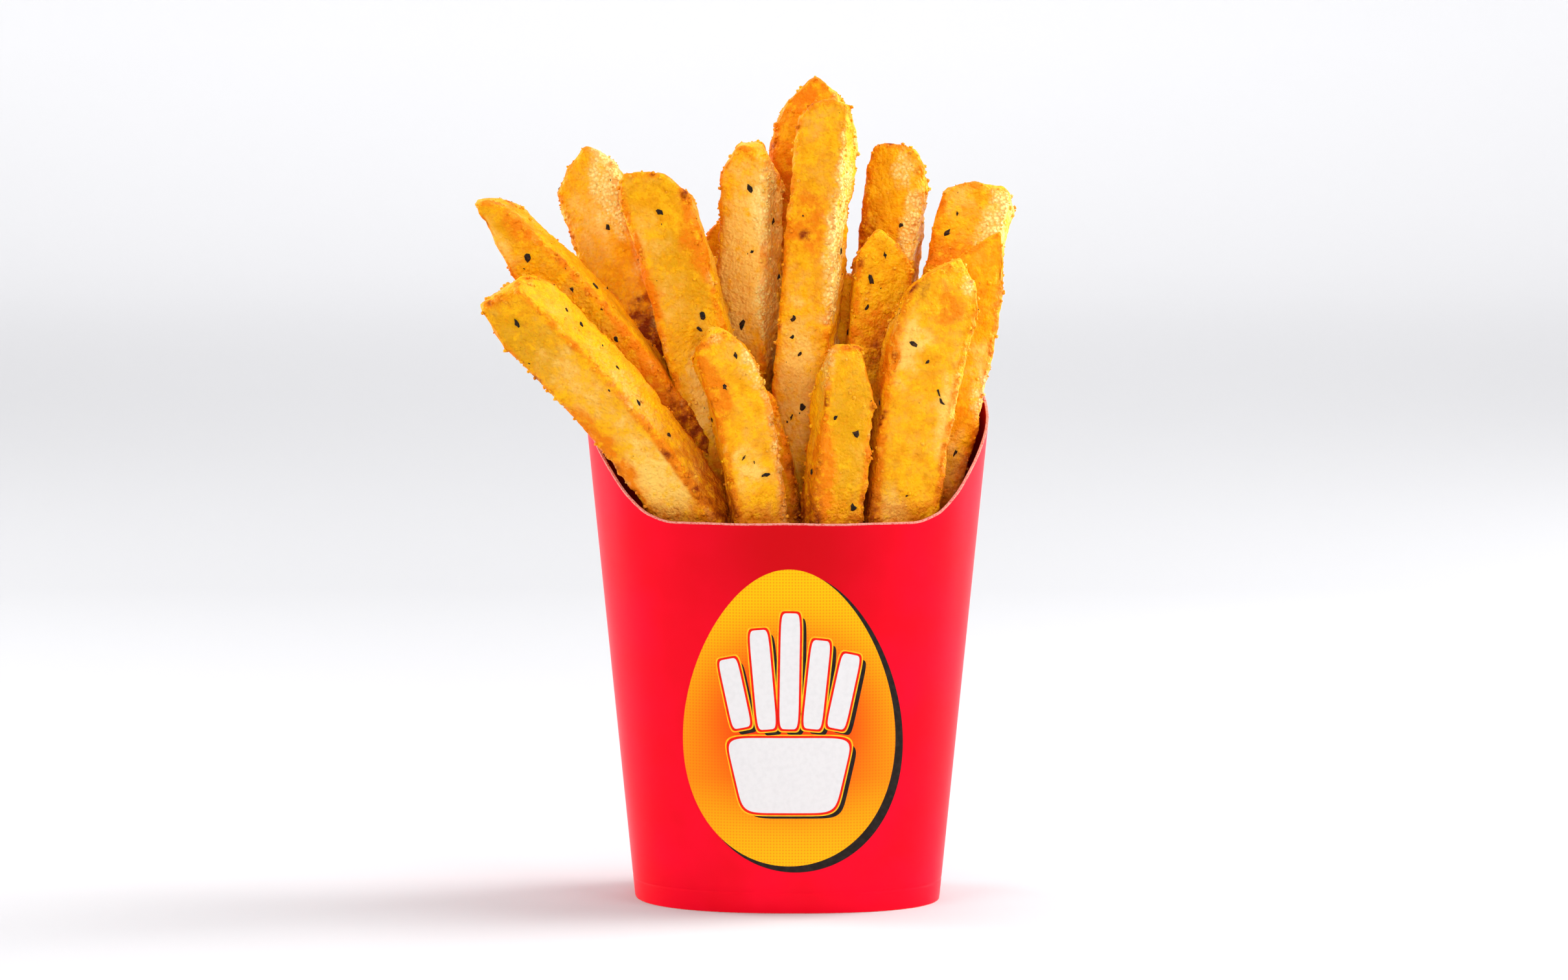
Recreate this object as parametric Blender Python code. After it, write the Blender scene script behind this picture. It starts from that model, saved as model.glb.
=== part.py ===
"""A takeaway portion of thick-cut fries standing in an oval paperboard scoop.

The scoop is one folded board: an oval wall that widens upwards, cut low at the
front and high at the back, with a floor set up inside its foot. The fries are
one solid: a core that fills the scoop, with every fry that shows and the larger
pepper flakes fused to it. Lengths are in millimetres until a mesh is made.
"""
import math
from dataclasses import dataclass

import bmesh
import bpy
import numpy as np

MM = 0.001

# Scoop: half sizes of its oval at the foot, and how much each grows per mm of height
FOOT_HALF_WIDTH = 28.3
FOOT_HALF_DEPTH = 19.3
WIDTH_FLARE = 0.099
DEPTH_FLARE = 0.060
OVAL_POWER = 2.4
# The front panel sits a little to the right of the back one
FRONT_SKEW = 1.3
BOARD = 0.5
SKIRT = 1.0
FLOOR_UNDERSIDE = 3.8
FLOOR_TOP = FLOOR_UNDERSIDE + BOARD
# Height of the cut edge, by angle round the oval from the middle of the front
RIM_ANGLES = (0.0, 34.0, 44.0, 54.0, 64.0, 76.0, 90.0, 112.0, 140.0, 180.0)
RIM_HEIGHTS = (72.5, 72.5, 73.7, 76.9, 81.4, 86.2, 90.5, 96.0, 101.5, 104.0)
OVAL_SIDES = 72
# Glued overlap at the back: the outer layer's edge, and how far it takes to ease in
SEAM_EDGE = 186.0
SEAM_RUN = 34.0
SEAM_STEP = 0.45

# Core of the heap: how far it keeps from the wall, and its blunt crown
CORE_GAP = 0.8
CORE_BOTTOM = FLOOR_TOP + 0.4
CORE_TOP = 58.0
CORE_CROWN = 3.0
CORE_CROWN_SHARE = 0.6
CORE_SIDES = 32

# Fries
CORNER = 0.24
BODY_RINGS = 7
SECTION_CORNERS = ((1, -1), (1, 1), (-1, 1), (-1, -1))
LENGTH_STEPS = 32
# How far a fry is drawn past its tip before its end is sliced off
TIP_ALLOWANCE = 4.0

# Pepper: the flakes that show first, and how the rest are scattered
PEPPER_SEED = 7
SCATTERED_ON_LARGEST = 4
PEPPER_RADIUS = (0.5, 0.85)
PEPPER_THICKNESS = 0.4
PEPPER_SPOKES = 6
PEPPER_NARROW = 0.7
PEPPER_LID = 0.55
PEPPER_TURN = 5.0
PEPPER_SINK = 0.08
PEPPER_ALONG = (0.5, 0.9)
PEPPER_ACROSS = 0.55
PEPPER_FACES = ("back", "left", "right", "front")
WALL_MARGIN = 1.5


@dataclass(frozen=True)
class Fry:
    """One fry: a line through three points, a rounded oblong section and a cut end.

    width and depth are its sides across and away from the viewer, roll turns the
    section to show its right side, and swell is its width at the tip over that at the
    foot. Each cut slices its end along a plane: how far past the tip the plane meets
    the line, and how much it rises per mm to the viewer's right and towards the viewer.
    """

    name: str
    foot: tuple
    middle: tuple
    tip: tuple
    width: float
    depth: float
    roll: float
    swell: float
    cuts: tuple


FRIES = (
    Fry("left_low", (-3.5, -11.5, 50), (-25.2, -13.6, 85.2), (-52.6, -16.0, 114.8),
        11.8, 10.5, 26, 1.0,
        ((-0.65, -0.2, 0.1), (5.1, -1.45, 0.0), (13.5, 3.1, 0.0), (4.0, 0.0, -1.0))),
    Fry("left_long", (-4.5, -1.0, 53), (-26.8, -3.5, 94.8), (-58.6, -6.0, 128.2),
        13.4, 10.5, 8, 0.92,
        ((-5.75, 2.5, 0.0), (2.4, -1.05, 0.0), (6.9, -2.1, 0.0), (3.0, 0.0, 0.8))),
    Fry("left_tall", (-10.0, 7.0, 50), (-25.0, 9.0, 96), (-37.3, 12.0, 138.6),
        12.8, 10.0, 18, 0.95,
        ((-0.5, 0.68, 0.1), (1.1, -1.15, 0.0), (2.0, 1.3, 0.0), (8.5, -2.9, 0.0))),
    Fry("left_blunt", (-1.5, -5.0, 45), (-12.6, -3.5, 90), (-25.3, 0.0, 134.2),
        12.8, 10.0, 3, 1.0,
        ((0.1, -0.33, 0.1), (4.5, -1.65, 0.0), (11.6, 2.2, 0.0), (4.5, 0.0, 1.4))),
    Fry("middle_left", (-7.0, 6.0, 45), (-7.2, 7.0, 92), (-6.4, 7.0, 140.5),
        9.8, 9.0, 22, 1.0,
        ((-0.55, 0.14, 0.0), (3.8, 1.8, 0.0), (3.3, -2.0, 0.0), (3.5, 0.0, -1.2))),
    Fry("tallest", (1.5, -4.0, 42), (3.3, -1.5, 95), (8.0, 2.0, 147.9),
        10.8, 9.5, 15, 0.88,
        ((-0.25, 0.3, 0.1), (2.4, 1.1, 0.0), (15.8, -4.4, 0.0), (0.95, -0.5, 0.0))),
    Fry("tallest_behind", (-3.0, 12.0, 60), (0.6, 14.0, 112), (5.0, 16.0, 151.8),
        11.5, 9.0, 8, 1.0,
        ((-0.4, 0.77, 0.0), (0.3, 1.64, 0.0), (4.9, 2.9, 0.0), (0.5, -0.95, 0.0))),
    Fry("short_pointed", (-4.5, -14.0, 45), (-6.0, -15.0, 78), (-13.2, -13.5, 107.2),
        9.8, 9.5, -8, 1.1,
        ((1.3, 1.0, 0.0), (0.1, -0.67, 0.0), (2.0, -1.77, 0.0), (12.0, -4.1, 0.0),
         (2.0, 0.0, -0.9))),
    Fry("short_behind", (0.5, -10.0, 45), (-2.2, -9.0, 72), (-7.4, -6.0, 95.5),
        9.5, 7.5, 0, 1.0,
        ((0.0, -0.3, 0.1), (4.5, 1.8, 0.0), (5.0, -1.9, 0.0))),
    Fry("short_round", (7.5, -14.0, 45), (8.8, -15.5, 80), (11.6, -14.0, 104.9),
        10.0, 9.5, -17, 1.0,
        ((-1.5, 0.16, 0.0), (9.3, 3.9, 0.0), (3.2, -3.0, 0.0), (2.5, 0.0, -1.0))),
    Fry("right_tall", (13.0, 10.0, 55), (17.4, 11.5, 104), (21.6, 13.5, 138.4),
        12.8, 9.5, 10, 0.78,
        ((0.98, 0.37, 0.1), (0.2, -0.22, 0.0), (6.2, -2.8, 0.0), (7.0, 1.6, 0.0))),
    Fry("right_pointed", (10.0, -1.5, 50), (15.0, 0.5, 95), (18.3, 2.0, 124.0),
        10.6, 8.5, -8, 1.0,
        ((3.1, 2.37, 0.0), (-1.7, -1.45, 0.0), (1.5, 0.0, 1.0))),
    Fry("right_broad", (20.0, -9.5, 42), (21.9, -11.0, 84), (29.8, -8.5, 119.2),
        12.6, 10.5, -10, 1.16,
        ((-0.5, 1.2, 0.0), (13.5, 3.6, 0.0), (2.9, -1.05, 0.0), (16.5, -3.25, 0.0),
         (5.0, 0.0, -1.3))),
    Fry("right_outer", (19.0, 1.0, 55), (29.0, 0.5, 88), (35.3, 2.5, 123.6),
        11.5, 9.0, -5, 1.0,
        ((-2.2, 0.96, 0.0), (-1.15, 0.45, 0.0), (22.0, -5.2, 0.0), (2.0, 0.0, 0.9))),
    Fry("right_far", (18.0, 6.0, 55), (27.7, 7.4, 98), (36.5, 12.5, 132.0),
        12.0, 9.5, 12, 1.05,
        ((1.0, 0.78, 0.0), (-0.54, 0.235, 0.1), (6.4, -1.5, 0.0), (4.5, 0.0, -1.4))),
    Fry("rear_small", (-8.0, 12.0, 60), (-10.0, 14.0, 103), (-10.6, 15.0, 124.6),
        9.0, 8.0, 0, 1.0,
        ((0.4, 0.1, 0.1), (5.8, 2.8, 0.0), (5.5, -2.6, 0.0))),
    Fry("rear_slim", (8.5, 5.0, 55), (10.2, 5.5, 90), (11.8, 5.5, 115.5),
        8.5, 7.5, 0, 1.0,
        ((-0.3, -0.25, 0.1), (4.0, 2.0, 0.0), (4.0, -2.0, 0.0))),
    Fry("back_left", (-13.0, 12.0, 50), (-17.5, 14.5, 84), (-20.0, 17.0, 110.0),
        10.5, 9.0, -12, 1.0,
        ((0.0, 0.3, 0.15), (5.0, -1.6, 0.0), (7.0, 2.4, 0.0))),
    Fry("back_middle", (6.0, 15.0, 50), (8.0, 16.5, 84), (11.0, 18.5, 113.0),
        11.0, 8.5, 8, 1.0,
        ((0.0, -0.35, -0.1), (5.5, 1.8, 0.0), (7.0, -2.2, 0.0))),
    Fry("back_right", (17.0, 11.0, 50), (20.0, 13.0, 80), (23.0, 14.5, 108.0),
        10.0, 8.5, -15, 1.0,
        ((0.0, 0.25, 0.1), (6.0, -2.0, 0.0), (4.5, 1.5, 0.0))),
)
# Short fries low in the scoop, seen only from above: the middle of each tip, and roll
INNER_TIPS = (
    ((-19.0, -11.5, 67.5), 12),
    ((-22.5, -1.0, 69.0), -9),
    ((-19.5, 9.0, 68.0), 20),
    ((-9.5, -4.5, 70.0), -14),
    ((2.5, 4.5, 70.5), 5),
    ((13.5, -7.5, 69.5), 16),
    ((27.0, -3.5, 67.5), -12),
    ((24.5, 7.0, 69.0), 8),
    ((10.0, 10.0, 70.0), -18),
)
INNER_WIDTH = 9.8
INNER_DEPTH = 8.6
INNER_FOOT = 45.0
INNER_LEAN = 0.85
INNER_CUTS = ((0.0, 0.3, 0.12), (4.2, 1.8, 0.0), (4.0, -1.6, 0.0))


# Fry, face, share of its length, share across that face, radius
MARKED_PEPPER = (
    ("left_blunt", "front", 0.92, 0.06, 1.05),
    ("left_blunt", "front", 0.68, 0.20, 0.7),
    ("left_long", "front", 0.85, 0.28, 0.95),
    ("left_long", "front", 0.62, 0.50, 0.6),
    ("left_low", "front", 0.92, 0.06, 1.05),
    ("left_low", "right", 0.86, -0.10, 0.6),
    ("left_low", "right", 0.81, -0.20, 0.6),
    ("left_low", "right", 0.69, 0.10, 0.6),
    ("left_low", "right", 0.60, 0.50, 0.85),
    ("left_tall", "front", 0.82, 0.30, 0.6),
    ("left_tall", "front", 0.58, 0.22, 0.55),
    ("middle_left", "front", 0.91, 0.30, 0.8),
    ("middle_left", "front", 0.79, 0.50, 0.55),
    ("middle_left", "front", 0.65, 0.14, 1.0),
    ("middle_left", "right", 0.85, 0.30, 0.8),
    ("tallest", "front", 0.62, -0.38, 0.65),
    ("tallest", "front", 0.59, -0.34, 0.6),
    ("tallest", "front", 0.47, 0.18, 0.75),
    ("tallest", "front", 0.45, -0.22, 0.7),
    ("short_pointed", "front", 0.90, 0.30, 0.85),
    ("short_pointed", "front", 0.82, -0.38, 0.6),
    ("short_pointed", "front", 0.60, -0.30, 0.6),
    ("short_pointed", "front", 0.54, 0.42, 0.9),
    ("short_round", "front", 0.65, 0.34, 0.95),
    ("short_round", "front", 0.70, -0.45, 0.55),
    ("short_round", "front", 0.42, 0.46, 0.85),
    ("right_tall", "front", 0.77, 0.42, 0.6),
    ("right_pointed", "front", 0.90, -0.06, 0.7),
    ("right_pointed", "front", 0.81, -0.50, 1.0),
    ("right_pointed", "front", 0.72, -0.50, 0.8),
    ("right_broad", "front", 0.77, -0.50, 0.9),
    ("right_broad", "front", 0.64, 0.56, 0.9),
    ("right_broad", "front", 0.66, 0.42, 0.7),
    ("right_broad", "front", 0.73, -0.02, 0.5),
    ("right_broad", "left", 0.48, 0.30, 0.9),
    ("right_broad", "left", 0.61, 0.50, 0.7),
    ("right_outer", "front", 0.44, 0.50, 0.7),
    ("right_far", "front", 0.83, -0.50, 0.95),
    ("right_far", "front", 0.89, -0.40, 0.6),
)


def clear_scene():
    """Remove what the file opened with."""
    for thing in list(bpy.data.objects):
        bpy.data.objects.remove(thing, do_unlink=True)


def surface(name, colour, roughness):
    """A Principled material of one colour."""
    material = bpy.data.materials.new(name)
    material.use_nodes = True
    shader = material.node_tree.nodes["Principled BSDF"]
    shader.inputs["Base Color"].default_value = (*colour, 1.0)
    shader.inputs["Roughness"].default_value = roughness
    shader.inputs["Metallic"].default_value = 0.0
    return material


def smooth_through(at, places, values):
    """Read a smooth curve through a few values, never past the two beside it."""
    places = np.asarray(places, float)
    values = np.asarray(values, float)
    gaps = np.diff(places)
    rises = np.diff(values) / gaps
    slopes = np.zeros(len(places))
    same_way = rises[:-1] * rises[1:] > 0
    slopes[1:-1][same_way] = 2 / (1 / rises[:-1][same_way] + 1 / rises[1:][same_way])
    step = np.clip(np.searchsorted(places, at, side="right") - 1, 0, len(gaps) - 1)
    t = (at - places[step]) / gaps[step]
    start = (1 + 2 * t) * (1 - t) ** 2 * values[step]
    leave = t * (1 - t) ** 2 * gaps[step] * slopes[step]
    end = t * t * (3 - 2 * t) * values[step + 1]
    arrive = t * t * (t - 1) * gaps[step] * slopes[step + 1]
    return start + leave + end + arrive


def oval(angles, heights, inset=0.0):
    """Points of the scoop's wall: a rounded oval that widens with height.

    angles are degrees round from the middle of the front, to the right first, and
    inset moves the point in from the outer face.
    """
    turn = np.radians(angles)
    half_width = FOOT_HALF_WIDTH + WIDTH_FLARE * heights - inset
    half_depth = FOOT_HALF_DEPTH + DEPTH_FLARE * heights - inset
    across = np.sign(np.sin(turn)) * np.abs(np.sin(turn)) ** (2 / OVAL_POWER)
    away = -np.sign(np.cos(turn)) * np.abs(np.cos(turn)) ** (2 / OVAL_POWER)
    x = half_width * across - FRONT_SKEW * away
    return np.stack([x, half_depth * away, heights + 0 * across], axis=-1)


def rim_height(angles):
    """Height of the cut edge, the same on the left as on the right."""
    folded = 180.0 - np.abs(180.0 - np.asarray(angles) % 360.0)
    return smooth_through(folded, RIM_ANGLES, RIM_HEIGHTS)


def seam_thickness(angles):
    """How far the glued overlap stands proud of the wall, easing in up to its edge."""
    run = (np.asarray(angles) - (SEAM_EDGE - SEAM_RUN)) / SEAM_RUN
    eased = np.clip(run, 0, 1) ** 2 * (3 - 2 * np.clip(run, 0, 1))
    return np.where(run <= 1.0, SEAM_STEP * eased, 0.0)


def join_rings(bm, rings):
    """Join closed rings of points into a skin, in order, with both ends filled."""
    rows = [[bm.verts.new(point * MM) for point in ring] for ring in rings]
    count = len(rows[0])
    for lower, upper in zip(rows, rows[1:]):
        for k in range(count):
            j = (k + 1) % count
            bm.faces.new((lower[k], lower[j], upper[j], upper[k]))
    bm.faces.new(rows[0][::-1])
    bm.faces.new(rows[-1])


def finished(bm, name, material, smooth_angle):
    """Turn a bmesh into a named object with its material and shading."""
    bmesh.ops.recalc_face_normals(bm, faces=bm.faces)
    mesh = bpy.data.meshes.new(name)
    bm.to_mesh(mesh)
    bm.free()
    mesh.materials.append(material)
    mesh.shade_smooth()
    mesh.set_sharp_from_angle(angle=math.radians(smooth_angle))
    made = bpy.data.objects.new(name, mesh)
    bpy.context.scene.collection.objects.link(made)
    return made


def scoop(material):
    """The folded board: floor underside, skirt, outer wall, cut edge, inside, floor."""
    angles = np.arange(OVAL_SIDES) * 360.0 / OVAL_SIDES
    flat = np.zeros(OVAL_SIDES)
    rim = rim_height(angles)
    seam = seam_thickness(angles)
    rings = [
        oval(angles, flat + FLOOR_UNDERSIDE, SKIRT),
        oval(angles, flat, SKIRT),
        oval(angles, flat, -seam),
        oval(angles, rim, -seam),
        oval(angles, rim, BOARD),
        oval(angles, flat + FLOOR_TOP, BOARD),
    ]
    bm = bmesh.new()
    join_rings(bm, rings)
    return finished(bm, "fry_carton", material, 40)


def core(material):
    """What the fries stand in: a plug that fills the scoop, clear of its wall."""
    angles = np.arange(CORE_SIDES) * 360.0 / CORE_SIDES
    flat = np.zeros(CORE_SIDES)
    inset = BOARD + CORE_GAP
    top = oval(angles, flat + CORE_TOP, inset)
    middle = top.mean(axis=0)
    crown = middle + (top - middle) * CORE_CROWN_SHARE
    crown[:, 2] += CORE_CROWN
    bm = bmesh.new()
    join_rings(bm, [oval(angles, flat + CORE_BOTTOM, inset), top, crown])
    return finished(bm, "fries", material, 35)


def line_of(fry, along):
    """Points and directions of the curve through a fry's foot, middle and tip."""
    foot, middle, tip = (np.array(p, float) for p in (fry.foot, fry.middle, fry.tip))
    t = np.asarray(along, float)[:, None]
    points = foot * (1 - t) * (1 - 2 * t) + middle * 4 * t * (1 - t) + tip * t * (2 * t - 1)
    ways = foot * (4 * t - 3) + middle * (4 - 8 * t) + tip * (4 * t - 1)
    return points, ways / np.linalg.norm(ways, axis=1, keepdims=True)


def level_of(ways):
    """Directions to the viewer's right and towards the viewer, square to some lines."""
    width_way = np.cross(ways, (0.0, -1.0, 0.0))
    width_way /= np.linalg.norm(width_way, axis=1, keepdims=True)
    return width_way, np.cross(width_way, ways)


def frame_of(fry, along):
    """Centres of a fry's sections, with the directions of their width and face."""
    points, ways = line_of(fry, along)
    width_way, face_way = level_of(ways)
    turn = math.radians(fry.roll)
    right = width_way * math.cos(turn) + face_way * math.sin(turn)
    front = face_way * math.cos(turn) - width_way * math.sin(turn)
    return points, right, front


def length_of(fry):
    """Length of a fry along its curve."""
    points, _ = line_of(fry, np.linspace(0, 1, LENGTH_STEPS + 1))
    return float(np.linalg.norm(np.diff(points, axis=0), axis=1).sum())


def section_place(fry, along, across, out):
    """Points of a fry at shares of its length, its half width and its half depth."""
    points, right, front = frame_of(fry, along)
    half_width = fry.width / 2 * (1 + (fry.swell - 1) * along)
    return points + right * (across * half_width)[:, None] + front * (out * fry.depth / 2)[:, None]


def slice_end(bm, fry):
    """Slice a fry's end off along each of its cuts, and close it again."""
    tip, ways = line_of(fry, [1.0])
    width_way, face_way = level_of(ways)
    for lift, rise_right, rise_front in fry.cuts:
        place = (tip[0] + ways[0] * lift) * MM
        normal = ways[0] - width_way[0] * rise_right - face_way[0] * rise_front
        everything = [*bm.verts, *bm.edges, *bm.faces]
        cut = bmesh.ops.bisect_plane(
            bm, geom=everything, plane_co=place, plane_no=normal, clear_outer=True)
        rim = [edge for edge in cut["geom_cut"] if isinstance(edge, bmesh.types.BMEdge)]
        if rim:
            bmesh.ops.edgeloop_fill(bm, edges=rim)


def inner_fries():
    """The short fries that fill the scoop between the ones that show."""
    for number, (tip, roll) in enumerate(INNER_TIPS):
        foot = (tip[0] * INNER_LEAN, tip[1] * INNER_LEAN, INNER_FOOT)
        middle = tuple((a + b) / 2 for a, b in zip(foot, tip))
        yield Fry(f"inner_{number}", foot, middle, tip, INNER_WIDTH, INNER_DEPTH, roll, 1.0,
                  INNER_CUTS)


def add_fry(bm, fry):
    """Add a fry as rings of eight points, with its corners cut, and slice its end."""
    along = np.linspace(0, 1 + TIP_ALLOWANCE / length_of(fry), BODY_RINGS)
    corners = []
    for side, face in SECTION_CORNERS:
        cuts = [(side, face * (1 - CORNER)), (side * (1 - CORNER), face)]
        corners += cuts if side * face > 0 else cuts[::-1]
    columns = [
        section_place(fry, along, np.full(len(along), a), np.full(len(along), b))
        for a, b in corners
    ]
    join_rings(bm, list(np.stack(columns, axis=1)))
    slice_end(bm, fry)


def face_place(fry, face, along, across):
    """Where a share along and across one face of a fry lies, and which way it faces."""
    side, forward = {
        "front": (across, 1.0),
        "back": (across, -1.0),
        "right": (1.0, across),
        "left": (-1.0, across),
    }[face]
    share = np.array([along])
    place = section_place(fry, share, np.array([side]), np.array([forward]))[0]
    _, right, front = frame_of(fry, share)
    out = {"front": front[0], "back": -front[0], "right": right[0], "left": -right[0]}
    return place, out[face]


def clear_of_wall(place):
    """Whether a flake here would stand well inside or well above the scoop's wall."""
    half_width = FOOT_HALF_WIDTH + WIDTH_FLARE * place[2] - BOARD - WALL_MARGIN
    half_depth = FOOT_HALF_DEPTH + DEPTH_FLARE * place[2] - BOARD - WALL_MARGIN
    away = place[1] / half_depth
    across = (place[0] + FRONT_SKEW * away) / half_width
    inside = abs(across) ** OVAL_POWER + abs(away) ** OVAL_POWER < 1
    return inside or place[2] > max(RIM_HEIGHTS) + WALL_MARGIN


def scattered_pepper():
    """Draw the flakes that no view marks: fry, face, share along, share across, radius."""
    draws = np.random.default_rng(PEPPER_SEED)
    largest = max(length_of(fry) * fry.width for fry in FRIES)
    for fry in FRIES:
        share = length_of(fry) * fry.width / largest
        for number in range(round(SCATTERED_ON_LARGEST * share)):
            along = draws.uniform(*PEPPER_ALONG)
            across = draws.uniform(-PEPPER_ACROSS, PEPPER_ACROSS)
            radius = draws.uniform(*PEPPER_RADIUS)
            yield fry.name, PEPPER_FACES[number % len(PEPPER_FACES)], along, across, radius


def pepper_flakes():
    """Every flake that keeps clear of the scoop: its place, way out, side and radius."""
    by_name = {fry.name: fry for fry in FRIES}
    flakes = []
    for name, face, along, across, radius in (*MARKED_PEPPER, *scattered_pepper()):
        fry = by_name[name]
        place, out = face_place(fry, face, along, across)
        if clear_of_wall(place):
            _, ways = line_of(fry, [along])
            flakes.append((place, out, ways[0], radius))
    return flakes


def add_pepper(bm, place, out, side, radius):
    """Add a flake: a flat six-sided crumb, longer one way, half sunk in a face."""
    up = np.cross(out, side)
    place = place - out * PEPPER_SINK
    number = np.arange(PEPPER_SPOKES)
    spokes = radius * PEPPER_TURN + number * 2 * math.pi / PEPPER_SPOKES
    stretch = np.where(number % 3 == 0, 1.0, PEPPER_NARROW)[:, None] * radius
    ring = place + (np.cos(spokes)[:, None] * side + np.sin(spokes)[:, None] * up) * stretch
    lid = place + (ring - place) * PEPPER_LID
    join_rings(bm, [lid - out * PEPPER_THICKNESS, ring, lid + out * PEPPER_THICKNESS])


def loose_object(bm, name, collection):
    """Put a bmesh into a collection of pieces that are about to be fused."""
    bmesh.ops.recalc_face_normals(bm, faces=bm.faces)
    mesh = bpy.data.meshes.new(name)
    bm.to_mesh(mesh)
    bm.free()
    collection.objects.link(bpy.data.objects.new(name, mesh))


def keep_largest_shell(mesh):
    """Fill sealed hollows and drop scraps, by keeping only the outermost shell."""
    bm = bmesh.new()
    bm.from_mesh(mesh)
    unseen = set(bm.verts)
    shells = []
    while unseen:
        shell = {unseen.pop()}
        edge_of_shell = list(shell)
        while edge_of_shell:
            near = {e.other_vert(v) for v in edge_of_shell for e in v.link_edges}
            edge_of_shell = list(near & unseen)
            unseen -= near
            shell |= near
        shells.append(shell)
    largest = max(shells, key=len)
    bmesh.ops.delete(bm, geom=[v for v in bm.verts if v not in largest], context="VERTS")
    bm.to_mesh(mesh)
    bm.free()


def heap(material):
    """Core, fries and flakes, joined by one union."""
    made = core(material)
    pieces = bpy.data.collections.new("pieces_to_fuse")
    bpy.context.scene.collection.children.link(pieces)
    for fry in (*FRIES, *inner_fries()):
        bm = bmesh.new()
        add_fry(bm, fry)
        loose_object(bm, "fry_" + fry.name, pieces)
    for number, flake in enumerate(pepper_flakes()):
        bm = bmesh.new()
        add_pepper(bm, *flake)
        loose_object(bm, f"pepper_{number:02d}", pieces)
    union = made.modifiers.new("fuse", "BOOLEAN")
    union.operation = "UNION"
    union.operand_type = "COLLECTION"
    union.collection = pieces
    union.solver = "EXACT"
    evaluated = made.evaluated_get(bpy.context.evaluated_depsgraph_get())
    fused = bpy.data.meshes.new_from_object(evaluated)
    made.modifiers.clear()
    made.data = fused
    keep_largest_shell(fused)
    for piece in list(pieces.objects):
        bpy.data.objects.remove(piece, do_unlink=True)
    bpy.data.collections.remove(pieces)
    return made


def centre_on_origin(objects):
    """Move every mesh so that the middle of the whole footprint is the origin."""
    corners = np.array([v.co for thing in objects for v in thing.data.vertices])
    middle = (corners.min(axis=0) + corners.max(axis=0)) / 2
    for thing in objects:
        for v in thing.data.vertices:
            v.co.x -= middle[0]
            v.co.y -= middle[1]


def main():
    """Build the scoop and the fries."""
    clear_scene()
    board = surface("red_coated_board", (0.80, 0.01, 0.02), 0.38)
    potato = surface("battered_potato", (0.83, 0.46, 0.08), 0.5)
    parts = [scoop(board), heap(potato)]
    centre_on_origin(parts)


main()
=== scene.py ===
"""Looks of a takeaway portion: thick-cut battered fries standing in a red board scoop.

The scoop is drawn with its real board thickness, die-cut edge, glued seam and print.
The fries, their crumbs and their pepper take the place of the plain heap and follow
its lines and sections. Recipes are in millimetres round the scoop's own upright axis
and become metres in the frame when a mesh is made.
"""

import logging
import math
from collections.abc import Sequence
from dataclasses import dataclass, field
from enum import Enum

import bpy
import numpy as np
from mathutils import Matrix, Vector

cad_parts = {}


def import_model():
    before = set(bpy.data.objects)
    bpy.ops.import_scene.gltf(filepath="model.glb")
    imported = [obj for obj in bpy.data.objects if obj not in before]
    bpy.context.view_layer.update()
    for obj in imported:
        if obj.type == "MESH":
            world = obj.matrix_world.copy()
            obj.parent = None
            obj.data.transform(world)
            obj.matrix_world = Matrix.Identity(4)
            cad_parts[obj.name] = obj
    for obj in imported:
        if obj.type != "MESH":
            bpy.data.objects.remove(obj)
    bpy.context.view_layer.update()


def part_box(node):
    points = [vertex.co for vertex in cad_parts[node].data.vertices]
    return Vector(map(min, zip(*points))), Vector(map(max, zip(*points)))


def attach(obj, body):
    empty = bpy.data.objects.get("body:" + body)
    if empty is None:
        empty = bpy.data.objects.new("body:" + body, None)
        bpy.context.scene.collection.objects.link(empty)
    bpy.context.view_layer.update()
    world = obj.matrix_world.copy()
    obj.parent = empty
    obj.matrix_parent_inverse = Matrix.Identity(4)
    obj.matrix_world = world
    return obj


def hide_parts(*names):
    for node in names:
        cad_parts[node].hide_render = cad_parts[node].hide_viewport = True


log = logging.getLogger("scoop_of_fries")

Node = bpy.types.Node
Socket = bpy.types.NodeSocket
Material = bpy.types.Material
Object = bpy.types.Object
Pair = tuple[float, float]
Point = tuple[float, float, float]

MM = 0.001
BODY = "root"


class Face(Enum):
    """The four long faces of a fry."""

    FRONT = "front"
    BACK = "back"
    RIGHT = "right"
    LEFT = "left"


FRONT, BACK, RIGHT, LEFT = Face


class Tint(Enum):
    """What a patch of crust looks like; each is an attribute of the crust's points."""

    CREAM = "cream"
    AMBER = "amber"
    BROWN = "brown"
    OLIVE = "olive"
    # gloss of oily patches, with a painted highlight on their grains
    GLASSY = "glassy"


CREAM, AMBER, BROWN, OLIVE, GLASSY = Tint


def linear(hex_colour: str) -> tuple[float, float, float, float]:
    """Turn an sRGB hex colour into linear red, green, blue and full alpha.

    Args:
        hex_colour: six hex digits.

    Returns:
        The four linear values.
    """
    shares = [int(hex_colour[k:k + 2], 16) / 255 for k in (0, 2, 4)]
    made = [c / 12.92 if c <= 0.04045 else ((c + 0.055) / 1.055) ** 2.4 for c in shares]
    return (*made, 1.0)


def eased(low: float, high: float, values: np.ndarray) -> np.ndarray:
    """Rise smoothly from 0 at low to 1 at high, by 3t^2 - 2t^3."""
    t = np.clip((values - low) / (high - low), 0.0, 1.0)
    return t * t * (3 - 2 * t)


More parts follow.
